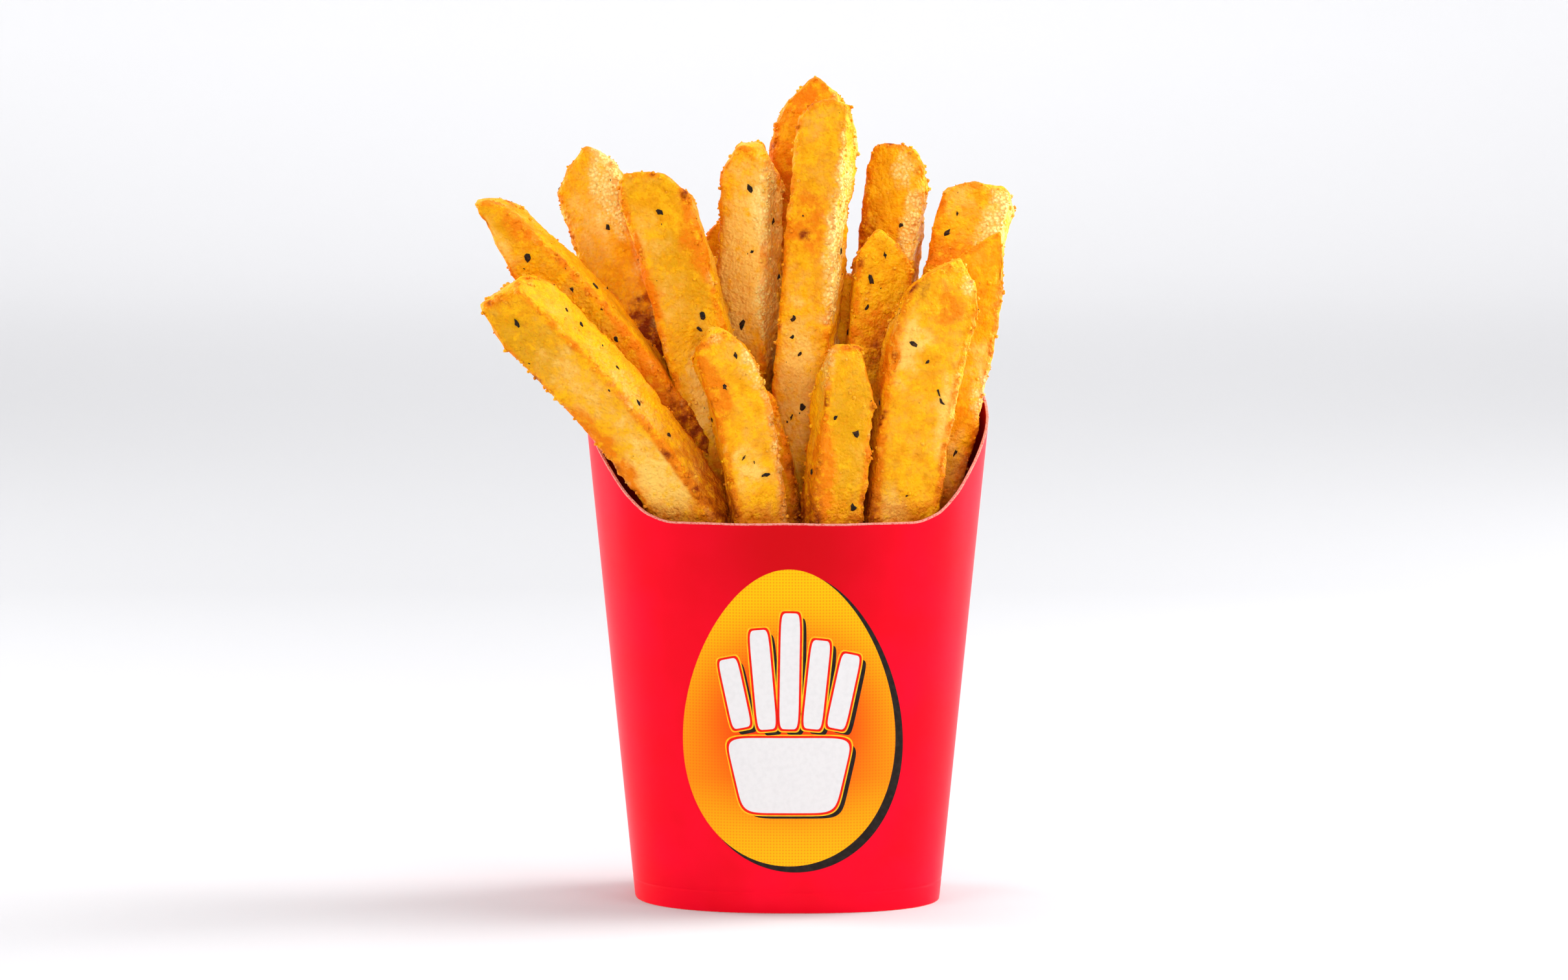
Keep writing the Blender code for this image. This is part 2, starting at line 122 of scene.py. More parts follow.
def smooth_through(at: np.ndarray, places: Sequence, values: Sequence) -> np.ndarray:
    """Read a smooth curve through a few values, never past the two beside it.

    Each span is a cubic whose end slopes are the harmonic mean of the slopes beside
    it, or level where the curve turns.

    Args:
        at: where to read it.
        places: rising places of the known values.
        values: the known values.

    Returns:
        The curve's value at each place asked for.
    """
    places, values = np.asarray(places, float), np.asarray(values, float)
    gaps = np.diff(places)
    rises = np.diff(values) / gaps
    slopes = np.zeros(len(places))
    same_way = rises[:-1] * rises[1:] > 0
    slopes[1:-1][same_way] = 2 / (1 / rises[:-1][same_way] + 1 / rises[1:][same_way])
    step = np.clip(np.searchsorted(places, at, side="right") - 1, 0, len(gaps) - 1)
    t = (at - places[step]) / gaps[step]
    start = (1 + 2 * t) * (1 - t) ** 2 * values[step]
    leave = t * (1 - t) ** 2 * gaps[step] * slopes[step]
    end = t * t * (3 - 2 * t) * values[step + 1]
    arrive = t * t * (t - 1) * gaps[step] * slopes[step + 1]
    return start + leave + end + arrive


def unit(vectors: np.ndarray) -> np.ndarray:
    """Scale vectors along the last axis to length 1."""
    return vectors / np.maximum(np.linalg.norm(vectors, axis=-1, keepdims=True), 1e-9)


@dataclass(frozen=True)
class Noise:
    """Smooth random lumps in space, the same for the same seed.

    Each corner of a cubic lattice has a random direction. The value at a point is the
    eased mean, over its cell's eight corners, of direction times offset, from -1 to 1.
    """

    seed: int
    table: int = 256
    gain: float = 1.7

    def at(self, points: np.ndarray, size: float) -> np.ndarray:
        """Read the lumps.

        Args:
            points: places in mm, in the last axis.
            size: spacing of the lattice in mm, about the width of one lump.

        Returns:
            One value for each place.
        """
        draws = np.random.default_rng(self.seed)
        order = draws.permutation(self.table)
        ways = unit(draws.normal(size=(self.table, 3)))
        cell = points / size
        base = np.floor(cell).astype(np.int64)
        share = cell - base
        ease = share ** 3 * (share * (share * 6 - 15) + 10)
        total = np.zeros(points.shape[:-1])
        for corner in np.ndindex(2, 2, 2):
            spot = (base + corner) % self.table
            code = order[(order[(order[spot[..., 0]] + spot[..., 1]) % self.table]
                          + spot[..., 2]) % self.table]
            weight = np.where(corner, ease, 1 - ease).prod(axis=-1)
            total += weight * ((share - corner) * ways[code]).sum(axis=-1)
        return np.clip(total * self.gain, -1, 1)

    def layered(self, points: np.ndarray, size: float, layers: int, keep: float) -> np.ndarray:
        """Add layers of lumps, each half as wide as the last and keep times as high."""
        heights = keep ** np.arange(layers)
        parts = [h * self.at(points, size / 2 ** k) for k, h in enumerate(heights)]
        return np.sum(parts, axis=0) / heights.sum()


@dataclass
class Skin:
    """Points, faces and point values of one piece, in mm, before it is a mesh."""

    points: np.ndarray
    quads: np.ndarray
    triangles: np.ndarray
    values: dict[str, np.ndarray] = field(default_factory=dict)
    quad_slots: np.ndarray | None = None

    def volume(self) -> float:
        """Enclosed volume in cubic mm: a sixth of each triangle's triple product."""
        halves = [self.triangles, self.quads[:, [0, 1, 2]], self.quads[:, [0, 2, 3]]]
        a, b, c = np.moveaxis(self.points[np.concatenate(halves)], 1, 0)
        return float((a * np.cross(b, c)).sum() / 6)

    def facing_out(self) -> "Skin":
        """Turn the faces round if they point inwards, which makes the volume negative."""
        if self.volume() < 0:
            self.quads = self.quads[:, ::-1]
            self.triangles = self.triangles[:, ::-1]
        return self

    def to_object(self, name: str, materials: Sequence, axis: np.ndarray,
                  sharp_angle: float | None = None) -> Object:
        """Make the mesh and its object.

        Args:
            name: the piece's name.
            materials: its materials, in the order that quad_slots counts.
            axis: where the scoop's axis stands in the frame, in mm.
            sharp_angle: edges that turn by more degrees than this are creased.

        Returns:
            The object, at the origin of the frame.
        """
        mesh = bpy.data.meshes.new(name)
        loops = np.concatenate([self.quads.ravel(), self.triangles.ravel()])
        sizes = np.repeat([4, 3], [len(self.quads), len(self.triangles)])
        mesh.vertices.add(len(self.points))
        mesh.vertices.foreach_set("co", ((self.points + axis) * MM).astype(np.float32).ravel())
        mesh.loops.add(len(loops))
        mesh.loops.foreach_set("vertex_index", loops.astype(np.int32))
        mesh.polygons.add(len(sizes))
        starts = np.concatenate([[0], np.cumsum(sizes)[:-1]])
        mesh.polygons.foreach_set("loop_start", starts.astype(np.int32))
        mesh.polygons.foreach_set("use_smooth", np.ones(len(sizes), bool))
        if self.quad_slots is not None:
            slots = np.zeros(len(sizes), np.int32)
            slots[:len(self.quads)] = self.quad_slots
            mesh.polygons.foreach_set("material_index", slots)
        for key, value in self.values.items():
            layer = mesh.attributes.new(key, "FLOAT", "POINT")
            layer.data.foreach_set("value", value.astype(np.float32).ravel())
        for material in materials:
            mesh.materials.append(material)
        mesh.update(calc_edges=True)
        mesh.validate()
        if sharp_angle is not None:
            mesh.set_sharp_from_angle(angle=math.radians(sharp_angle))
        made = bpy.data.objects.new(name, mesh)
        bpy.context.scene.collection.objects.link(made)
        return made


def closed_tube(grid: np.ndarray, first: np.ndarray, last: np.ndarray) -> Skin:
    """Join rows of points into a tube, closed round each row and at both ends.

    Args:
        grid: points by row, then round the row.
        first: the point that closes the first row.
        last: the point that closes the last row.

    Returns:
        The skin, with its faces pointing out.
    """
    rows, around = grid.shape[:2]
    index = np.arange(rows * around).reshape(rows, around)
    beside = np.roll(index, -1, axis=1)
    quads = np.stack([index[:-1], beside[:-1], beside[1:], index[1:]], axis=-1)
    low, high = rows * around, rows * around + 1
    ends = [
        np.stack([beside[0], index[0], np.full(around, low)], axis=-1),
        np.stack([index[-1], beside[-1], np.full(around, high)], axis=-1),
    ]
    points = np.concatenate([grid.reshape(-1, 3), [first], [last]])
    return Skin(points, quads.reshape(-1, 4), np.concatenate(ends)).facing_out()


def joined(skins: Sequence[Skin]) -> Skin:
    """Put several skins into one, with their values end to end."""
    starts = np.cumsum([0] + [len(s.points) for s in skins[:-1]])
    return Skin(
        np.concatenate([s.points for s in skins]),
        np.concatenate([s.quads + start for s, start in zip(skins, starts)]),
        np.concatenate([s.triangles + start for s, start in zip(skins, starts)]),
        {key: np.concatenate([s.values[key] for s in skins]) for key in skins[0].values},
    )


# Inputs and output of a Mix node that mixes colours
MIX_FIRST, MIX_SECOND, MIX_RESULT = 6, 7, 2

# Shader values of ink under the board's satin varnish
VARNISHED_INK = {"Roughness": 0.34, "Specular IOR Level": 0.10, "Coat Weight": 0.01,
                 "Coat Roughness": 0.16}


class Recipe:
    """A material in the making: one Principled shader and the nodes that feed it."""

    def __init__(self, name: str) -> None:
        """Start a material whose patterns follow places on the piece."""
        self.material = bpy.data.materials.new(name)
        self.material.use_nodes = True
        self.tree = self.material.node_tree
        self.shader = self.tree.nodes["Principled BSDF"]
        self.place = self.add("TexCoord").outputs["Object"]

    def add(self, kind: str, settings: dict | None = None, links: dict | None = None) -> Node:
        """Add one shader node with its settings and links.

        Args:
            kind: its type, without the leading ShaderNode.
            settings: values by property name, by input name or number, or "stops" for
                the places and hex colours of a colour ramp.
            links: output sockets by the name or number of the input that they feed.

        Returns:
            The node.
        """
        node = self.tree.nodes.new("ShaderNode" + kind)
        for key, value in (settings or {}).items():
            if key == "stops":
                ramp = node.color_ramp.elements
                while len(ramp) < len(value):
                    ramp.new(1.0)
                for stop, (place, colour) in zip(ramp, value):
                    stop.position = place
                    stop.color = linear(colour)
            elif isinstance(key, str) and hasattr(node, key):
                setattr(node, key, value)
            else:
                node.inputs[key].default_value = value
        for key, socket in (links or {}).items():
            self.tree.links.new(socket, node.inputs[key])
        return node

    def lumps(self, size_mm: float, detail: float, roughness: float = 0.5) -> Socket:
        """Noise whose lumps are about size_mm wide."""
        settings = {"Scale": 1 / (size_mm * MM), "Detail": detail, "Roughness": roughness}
        return self.add("TexNoise", settings, {"Vector": self.place}).outputs["Fac"]

    def ramp(self, value: Socket, *stops: tuple[float, str]) -> Socket:
        """Colours that change with a value, between stops of place and hex colour."""
        return self.add("ValToRGB", {"stops": stops}, {"Fac": value}).outputs["Color"]

    def bump(self, height: Socket, distance_mm: float) -> Socket:
        """Relief that stands distance_mm high where the height is 1."""
        settings = {"Strength": 1.0, "Distance": distance_mm * MM}
        return self.add("Bump", settings, {"Height": height}).outputs["Normal"]

    def ranged(self, value: Socket, source: Sequence, target: Sequence = (0.0, 1.0),
               curve: str = "SMOOTHSTEP") -> Socket:
        """Carry a value from one range to another, easing in and out of its ends."""
        settings = {"interpolation_type": curve, "From Min": source[0], "From Max": source[1],
                    "To Min": target[0], "To Max": target[1]}
        return self.add("MapRange", settings, {"Value": value}).outputs["Result"]

    def times(self, first: Socket, second: Socket) -> Socket:
        """Multiply two values."""
        return self.add("Math", {"operation": "MULTIPLY"}, {0: first, 1: second}).outputs["Value"]

    def mix(self, share: Socket, first: Socket | str, second: Socket | str) -> Socket:
        """Mix two colours, each a socket or a hex colour, by a share."""
        settings, links = {"data_type": "RGBA"}, {0: share}
        for key, colour in ((MIX_FIRST, first), (MIX_SECOND, second)):
            if isinstance(colour, str):
                settings[key] = linear(colour)
            else:
                links[key] = colour
        return self.add("Mix", settings, links).outputs[MIX_RESULT]

    def finished(self, sockets: dict[str, Socket], values: dict) -> Material:
        """Feed some of the shader's inputs, set others, and hand back the material."""
        for key, socket in sockets.items():
            self.tree.links.new(socket, self.shader.inputs[key])
        for key, value in values.items():
            self.shader.inputs[key].default_value = value
        return self.material


@dataclass(frozen=True)
class BatteredCrust:
    """Thick-cut potato in a thin seasoned batter, deep fried.

    The batter sets into a grainy, blistered skin over the pale flesh. It is golden on
    the faces, amber and brown along the edges where it fries hardest, and cream where
    the flesh shows through. Oily patches are glossy and stand up in grains, which carry
    a painted highlight in pale yellow.
    """

    name: str = "deep_fried_batter"
    golden: str = "FAB406"
    honey: str = "E89701"
    cream: str = "FDC75C"
    # painted highlight: the pale colour of the glints on glossy grains
    glassy: str = "FFE384"
    amber: str = "EA7F01"
    brown: str = "842F01"
    olive: str = "DE9B02"
    mottle_mm: float = 2.0
    curd_mm: float = 0.9
    curd_share: float = 0.7
    grain_mm: float = 0.62
    blister_mm: float = 1.5
    relief_mm: float = 0.62
    glow_mm: float = 1.0

    def material(self) -> Material:
        """Make the crust's material, which reads one attribute for each tint."""
        made = Recipe(self.name)
        mottle = made.lumps(self.mottle_mm, 5.0, 0.66)
        curd = made.lumps(self.curd_mm, 3.0, 0.6)
        blister = made.lumps(self.blister_mm, 3.0, 0.55)
        cells = made.add("TexVoronoi", {"Scale": 1 / (self.grain_mm * MM)},
                         {"Vector": made.place}).outputs["Distance"]
        grain = made.ranged(cells, (0.8, 0.2))
        colour = made.mix(made.ranged(mottle, (0.35, 0.65)), self.golden, self.honey)
        for tint, hex_colour in ((OLIVE, self.olive), (CREAM, self.cream),
                                 (AMBER, self.amber), (BROWN, self.brown)):
            colour = made.mix(self._broken(made, tint, mottle), colour, hex_colour)
        pits = made.ranged(curd, (0.50, 0.34), (0.0, 0.24))
        colour = made.mix(pits, colour, self.amber)
        # glossy patches: coat gloss, raised grains, and a painted highlight colour on the grains
        gloss_and_highlight = self._broken(made, GLASSY, mottle)
        painted_glints = made.ranged(grain, (0.0, 1.0), (0.35, 1.0))
        colour = made.mix(made.times(gloss_and_highlight, painted_glints), colour, self.glassy)
        standing = made.times(grain, made.ranged(gloss_and_highlight, (0.0, 1.0), (0.16, 0.26)))
        height = made.add("Math", {"operation": "MULTIPLY_ADD", 1: self.curd_share},
                          {0: curd, 2: blister}).outputs["Value"]
        height = made.add("Math", {"operation": "ADD"}, {0: height, 1: standing}).outputs["Value"]
        relief = made.bump(height, self.relief_mm)
        return made.finished(
            {"Base Color": colour, "Normal": relief, "Coat Normal": relief,
             "Roughness": made.ranged(mottle, (0.35, 0.65), (0.40, 0.62)),
             "Coat Weight": made.ranged(gloss_and_highlight, (0.0, 1.0), (0.01, 0.6))},
            {"Subsurface Weight": 0.14, "Subsurface Radius": (1.0, 0.45, 0.08),
             "Subsurface Scale": self.glow_mm * MM, "IOR": 1.46,
             "Specular IOR Level": 0.11, "Coat Roughness": 0.10})

    @staticmethod
    def _broken(made: Recipe, tint: Tint, mottle: Socket) -> Socket:
        """Read a tint's share and break it up with the mottling."""
        share = made.add("Attribute", {"attribute_name": tint.value}).outputs["Fac"]
        patchy = made.add("Math", {"operation": "MULTIPLY_ADD", 1: 4.0, 2: -1.0},
                          {0: mottle}).outputs["Value"]
        return made.ranged(made.times(share, patchy), (0.02, 1.05))


@dataclass(frozen=True)
class CrackedPepper:
    """Black pepper, cracked and fried: matt brown-black with a few paler specks."""

    name: str = "cracked_pepper"
    black: str = "140C06"
    brown: str = "4A2A10"
    fleck_mm: float = 0.5

    def material(self) -> Material:
        """Make the pepper's material."""
        made = Recipe(self.name)
        colour = made.ramp(made.lumps(self.fleck_mm, 2.0), (0.45, self.black), (0.75, self.brown))
        return made.finished({"Base Color": colour}, {"Roughness": 0.7, "Specular IOR Level": 0.2})


@dataclass(frozen=True)
class PrintedBoard:
    """Clay-coated folding boxboard, offset printed solid red under a satin varnish.

    The varnish gives soft broad highlights at the bends, and the fibres under the
    coating make them very slightly uneven. A darker red is painted round the middle of
    the front, below the rim, as painted shade: its reach is how far off that starts
    and is full.
    """

    painted_shade_at: Point
    name: str = "varnished_red_board"
    red: str = "F20026"
    deep: str = "E6001C"
    # painted shade: the darker red round the middle of the front, below the rim
    painted_shade: str = "C00008"
    painted_shade_reach: Pair = (27.0, 3.0)
    painted_shade_share: float = 0.9
    fibre_mm: float = 0.9
    cloud_mm: float = 14.0
    relief_mm: float = 0.006
    roughness: float = 0.36
    mirror: float = 0.08
    varnish: float = 0.01
    varnish_roughness: float = 0.16

    def material(self) -> Material:
        """Make the board's material."""
        made = Recipe(self.name)
        colour = made.ramp(made.lumps(self.cloud_mm, 2.0), (0.35, self.deep), (0.65, self.red))
        # painted shade: the red darkens towards a spot in the middle of the front, below the rim
        middle = tuple(c * MM for c in self.painted_shade_at)
        distance = made.add("VectorMath", {"operation": "DISTANCE", 1: middle},
                            {0: made.place}).outputs["Value"]
        painted_shade = made.ranged(distance, [r * MM for r in self.painted_shade_reach], (0.0, self.painted_shade_share))
        relief = made.bump(made.lumps(self.fibre_mm, 3.0), self.relief_mm)
        return made.finished(
            {"Base Color": made.mix(painted_shade, colour, self.painted_shade), "Normal": relief,
             "Coat Normal": relief},
            {"Roughness": self.roughness, "Specular IOR Level": self.mirror,
             "Coat Weight": self.varnish, "Coat Roughness": self.varnish_roughness})


@dataclass(frozen=True)
class CutBoard:
    """The raw die-cut edge of the board: fibrous pulp with a blush of red ink."""

    name: str = "raw_board_edge"
    pulp: str = "DC9484"
    ink: str = "CC3C32"
    fibre_mm: float = 0.35
    relief_mm: float = 0.05

    def material(self) -> Material:
        """Make the edge's material."""
        made = Recipe(self.name)
        fibre = made.lumps(self.fibre_mm, 3.0, 0.7)
        colour = made.ramp(fibre, (0.35, self.ink), (0.55, self.pulp))
        return made.finished({"Base Color": colour, "Normal": made.bump(fibre, self.relief_mm)},
                             {"Roughness": 0.85})


@dataclass(frozen=True)
class FlatInk:
    """One plain colour of offset ink under the board's satin varnish."""

    name: str
    colour: str
    worn: str
    fibre_mm: float = 0.9

    def material(self) -> Material:
        """Make the ink's material, with the board's faint mottling under it."""
        made = Recipe(self.name)
        colour = made.ramp(made.lumps(self.fibre_mm, 3.0), (0.3, self.worn), (0.6, self.colour))
        return made.finished({"Base Color": colour}, VARNISHED_INK)


@dataclass(frozen=True)
class ScreenedInk:
    """Yellow ink shaded to orange by a halftone screen, under satin varnish.

    The screen's dots are 0.4 mm apart on lines at 45 degrees, and grow towards the
    middle of the mark, where they run together into red-orange.
    """

    centre: Point
    half_height: float
    name: str = "screened_yellow_ink"
    top: str = "F4B800"
    middle: str = "FAA402"
    low: str = "FB8804"
    foot: str = "F8B606"
    glow: str = "F23C02"
    glow_reach: Pair = (0.85, 0.25)
    dot: str = "F06A00"
    dot_mm: float = 0.4
    dot_share: float = 0.55

    def material(self) -> Material:
        """Make the screened ink's material."""
        made = Recipe(self.name)
        half = self.half_height * MM
        to_middle = {"vector_type": "POINT", "Location": tuple(-c * MM for c in self.centre)}
        centred = made.add("Mapping", to_middle, {"Vector": made.place}).outputs["Vector"]
        up = made.add("SeparateXYZ", links={"Vector": centred}).outputs["Z"]
        colour = made.ramp(made.ranged(up, (-half, half), curve="LINEAR"), (0.0, self.foot),
                           (0.3, self.low), (0.6, self.middle), (0.95, self.top))
        distance = made.add("VectorMath", {"operation": "LENGTH"}, {0: centred}).outputs["Value"]
        glow = made.ranged(distance, [r * half for r in self.glow_reach])
        to_screen = {"Rotation": (0, math.radians(45), 0),
                     "Scale": (math.pi / (self.dot_mm * MM),) * 3}
        turned = made.add("Mapping", to_screen, {"Vector": centred}).outputs["Vector"]
        waves = made.add("SeparateXYZ", links={"Vector": turned}).outputs
        lines = [made.add("Math", {"operation": "SINE"}, {0: waves[w]}).outputs["Value"]
                 for w in "XZ"]
        dots = made.ranged(made.times(*lines), (0.1, 0.6), (0.0, self.dot_share))
        colour = made.mix(dots, colour, self.dot)
        return made.finished({"Base Color": made.mix(glow, colour, self.glow)}, VARNISHED_INK)


@dataclass(frozen=True)
class ScoopForm:
    """Sizes of the folded board, and the rounded oval that its wall follows."""

    foot_half_width: float = 28.3
    foot_half_depth: float = 19.3
    width_flare: float = 0.099
    depth_flare: float = 0.060
    power: float = 2.4
    skew: float = 1.3
    board: float = 0.5
    skirt: float = 1.0
    floor_underside: float = 3.8
    floor_top: float = 4.3
    rim_angles: tuple = (0.0, 34.0, 44.0, 54.0, 64.0, 76.0, 90.0, 112.0, 140.0, 180.0)
    rim_heights: tuple = (72.5, 72.5, 73.7, 76.9, 81.4, 86.2, 90.5, 96.0, 101.5, 104.0)
    cad_sides: int = 72
    seam_edge: float = 186.0
    seam_run: float = 34.0
    seam_step: float = 0.45

    def half_sizes(self, heights: np.ndarray, inset: float | np.ndarray) -> tuple:
        """Half width and half depth of the oval at some heights, moved in by inset."""
        half_width = self.foot_half_width + self.width_flare * heights - inset
        half_depth = self.foot_half_depth + self.depth_flare * heights - inset
        return half_width, half_depth

    def oval(self, angles: np.ndarray, heights: np.ndarray,
             inset: float | np.ndarray = 0.0) -> np.ndarray:
        """Points of the wall, |x / half width|^2.4 + |y / half depth|^2.4 = 1.

        Args:
            angles: degrees round from the middle of the front, to the right first.
            heights: height of each point.
            inset: how far each is moved in from the outer face.

        Returns:
            The points.
        """
        turn = np.radians(angles)
        half_width, half_depth = self.half_sizes(heights, inset)
        across = np.sign(np.sin(turn)) * np.abs(np.sin(turn)) ** (2 / self.power)
        away = -np.sign(np.cos(turn)) * np.abs(np.cos(turn)) ** (2 / self.power)
        x = half_width * across - self.skew * away
        return np.stack(np.broadcast_arrays(x, half_depth * away, heights), axis=-1)

    def rim_height(self, angles: np.ndarray) -> np.ndarray:
        """Height of the cut edge, the same on the left as on the right."""
        folded = 180.0 - np.abs(180.0 - np.asarray(angles) % 360.0)
        return smooth_through(folded, self.rim_angles, self.rim_heights)

    def seam_thickness(self, angles: np.ndarray) -> np.ndarray:
        """How far the glued overlap stands proud of the wall, easing in to its edge."""
        run = (np.asarray(angles) - (self.seam_edge - self.seam_run)) / self.seam_run
        return np.where(run <= 1.0, self.seam_step * eased(0.0, 1.0, run), 0.0)

    def axis_in_frame(self) -> np.ndarray:
        """Where the scoop's axis stands in the frame, in mm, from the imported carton's box."""
        angles = np.arange(self.cad_sides) * 360.0 / self.cad_sides
        proud = -self.seam_thickness(angles)
        rings = [self.oval(angles, h, proud) for h in (0 * angles, self.rim_height(angles))]
        lowest = np.concatenate(rings).min(axis=0)
        return np.array(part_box("fry_carton")[0]) / MM - lowest

    def on_front(self, x: np.ndarray, z: np.ndarray, lift: float | np.ndarray) -> np.ndarray:
        """Points on the front panel, straight behind places on a drawing of it.

        Args:
            x: places across, from the axis.
            z: heights.
            lift: how far each point stands proud of the outer face.

        Returns:
            The points.
        """
        def depth(x: np.ndarray, z: np.ndarray) -> np.ndarray:
            half_width, half_depth = self.half_sizes(z, 0.0)
            across = x / half_width
            for _ in range(4):
                away = (1 - np.abs(across) ** self.power) ** (1 / self.power)
                across = (x - self.skew * away) / half_width
            return -half_depth * away

        step = 0.01
        y = depth(x, z)
        slope_x = (depth(x + step, z) - y) / step
        slope_z = (depth(x, z + step) - y) / step
        outward = unit(np.stack([slope_x, -np.ones_like(y), slope_z], axis=-1))
        return np.stack([x, y, z], axis=-1) + outward * np.asarray(lift)[..., None]

    def pressed_inside(self, points: np.ndarray, gap: float) -> np.ndarray:
        """Push points that would cross the wall back to gap inside its inner face.

        The push fades out over the few mm above the cut edge.
        """
        half_width, half_depth = self.half_sizes(points[..., 2], self.board + gap)
        away = points[..., 1] / half_depth
        across = (points[..., 0] + self.skew * away) / half_width
        reach = (np.abs(across) ** self.power + np.abs(away) ** self.power) ** (1 / self.power)
        turned = [np.sign(v) * np.abs(v / np.maximum(reach, 1e-6)) ** (self.power / 2)
                  for v in (across, -away)]
        rim = self.rim_height(np.degrees(np.arctan2(*turned)))
        held = 1 - eased(0.0, 3.0, points[..., 2] - rim - 0.4)
        shrink = 1 + (1 / np.maximum(reach, 1.0) - 1) * held
        x = half_width * across * shrink - self.skew * away * shrink
        y = half_depth * away * shrink
        return np.stack([x, y, points[..., 2]], axis=-1)


@dataclass
class Scoop:
    """The paperboard scoop: one closed skin from its floor's underside to its floor."""

    form: ScoopForm = field(default_factory=ScoopForm)
    columns: int = 400
    wall_rows: int = 60
    crease_height: float = 3.9
    crease_depth: float = 0.06
    edge_radius: float = 0.09
    chipped_ink: float = 0.14
    rim_waver: float = 0.12
    waver_mm: float = 9.0
    rim_fray: float = 0.04
    fray_mm: float = 1.2
    # where the painted shade on the front is darkest: across and up, in mm
    painted_shade_spot: Pair = (1.0, 68.0)
    crease_rows: tuple = (0.6, 1.6, 2.6, 3.2, 3.55, 3.75, 3.9, 4.05, 4.25, 4.6, 5.4, 6.5)
    noise: Noise = field(default_factory=lambda: Noise(21))

    def angles(self) -> np.ndarray:
        """Places round the oval, with two close together at the seam's cut edge."""
        even = np.arange(self.columns) * 360.0 / self.columns
        clear = np.abs(even - self.form.seam_edge) > 0.5
        edge = self.form.seam_edge + np.array([-0.3, 0.0, 0.04, 0.4])
        return np.sort(np.concatenate([even[clear], edge]))

    def skin(self) -> Skin:
        """Carry the wall's profile round the oval.

        The profile runs down the inside of the skirt, round the foot, up the outer
        face with its crease, over the cut edge and down the inner face to the floor.

        Returns:
            The skin, with slot 0 for print, 1 for cut edge and 2 for the inside.
        """
        form = self.form
        angles = self.angles()
        flat = np.zeros(len(angles))
        seam = form.seam_thickness(angles)
        far = form.oval(angles, flat + 60.0)
        rim = form.rim_height(angles) + self.rim_waver * self.noise.at(far, self.waver_mm)
        rim = rim + self.rim_fray * self.noise.at(far, self.fray_mm)
        turn = np.linspace(0, math.pi / 2, 4)
        corner = [(self.edge_radius * (1 - math.sin(a)), self.edge_radius * (1 - math.cos(a)))
                  for a in turn]
        rows: list[tuple[np.ndarray, np.ndarray, int]] = []

        def row(height: np.ndarray, inset: np.ndarray, slot: int) -> None:
            rows.append((flat + height, flat + inset, slot))

        for height in (form.floor_underside, 2.5, 1.2, 0.0):
            row(height, form.skirt, 2)
        half = form.skirt / 2
        for inset, height in ((half + 0.06, 0.0), (half, 0.12), (half - 0.06, 0.0)):
            row(height, inset, 1)
        for drop, inset in corner:
            row(drop, inset - seam, 1)
        for height in self.crease_rows:
            dip = self.crease_depth * math.exp(-((height - self.crease_height) / 0.18) ** 2)
            row(height, dip - seam, 0)
        start, top = self.crease_rows[-1], rim - 0.5
        for share in np.linspace(0, 1, self.wall_rows + 1)[1:]:
            row(start + (top - start) * share, -seam, 0)
        for below in (0.34, self.chipped_ink, 0.11):
            row(rim - below, -seam, 0 if below > self.chipped_ink else 1)
        for drop, inset in corner:
            row(rim - drop, inset - seam, 1)
        for drop, inset in corner[::-1]:
            row(rim - drop, form.board - inset, 1)
        for share in np.linspace(0, 1, 25):
            height = rim - 0.3 + (form.floor_top - rim + 0.3) * share
            row(height, form.board, 2)
        heights, insets, slots = zip(*rows)
        grid = form.oval(angles, np.array(heights), np.array(insets))
        under = np.array([0.0, 0.0, form.floor_underside])
        floor = np.array([0.0, 0.0, form.floor_top])
        skin = closed_tube(grid, under, floor)
        by_row = np.array(slots)
        strips = np.maximum(by_row[:-1], by_row[1:])
        strips = np.where((by_row[:-1] == 1) & (by_row[1:] == 0), 0, strips)
        sides = np.repeat(strips, len(angles)).reshape(len(strips), len(angles))
        step = np.flatnonzero(np.isclose(angles, form.seam_edge))[0]
        sides[:, step] = np.where(sides[:, step] == 0, 1, sides[:, step])
        skin.quad_slots = sides.ravel()
        return skin

    def build(self, axis: np.ndarray) -> list[Object]:
        """Make the scoop and dress it.

        Args:
            axis: where its axis stands in the frame, in mm.

        Returns:
            The one piece.
        """
        # the painted shade below the rim darkens both the outer print and the inside
        painted_shade_at = tuple(self.form.on_front(*np.array(self.painted_shade_spot)[:, None], 0.0)[0] + axis)
        inside = PrintedBoard(painted_shade_at, name="red_board_inside", red="C8140A", deep="BE1008",
                              varnish_roughness=0.35)
        finishes = [PrintedBoard(painted_shade_at).material(), CutBoard().material(),
                    inside.material()]
        made = self.skin().to_object("scoop_board", finishes, axis, sharp_angle=50)
        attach(made, BODY)
        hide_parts("fry_carton")
        return [made]


def rounded_bar(length: float, width: float, lean: float, taper: float,
                count: int) -> np.ndarray:
    """Outline of an upright bar with round corners, leaning by some degrees.

    It is the curve |x / half width|^7 + |z / half length|^7 = 1 at even angles of a
    seventh-power oval, wider at its top by taper.

    Args:
        length: its height before it leans.
        width: its width.
        lean: degrees that its top leans to the right.
        taper: share by which its width grows from its middle to its top.
        count: number of points.

    Returns:
        Points across and up, round its centre.
    """
    turn = np.arange(count) * 2 * math.pi / count
    squareness = 2 / 7
    x = np.sign(np.cos(turn)) * np.abs(np.cos(turn)) ** squareness
    z = np.sign(np.sin(turn)) * np.abs(np.sin(turn)) ** squareness
    flat = np.stack([x * width / 2 * (1 + taper * z), z * length / 2], axis=-1)
    a = math.radians(lean)
    return flat @ np.array([[math.cos(a), -math.sin(a)], [math.sin(a), math.cos(a)]])


@dataclass(frozen=True)
class Stick:
    """One bar of the printed fan: where its middle is, and its length and lean."""

    across: float
    up: float
    length: float
    lean: float


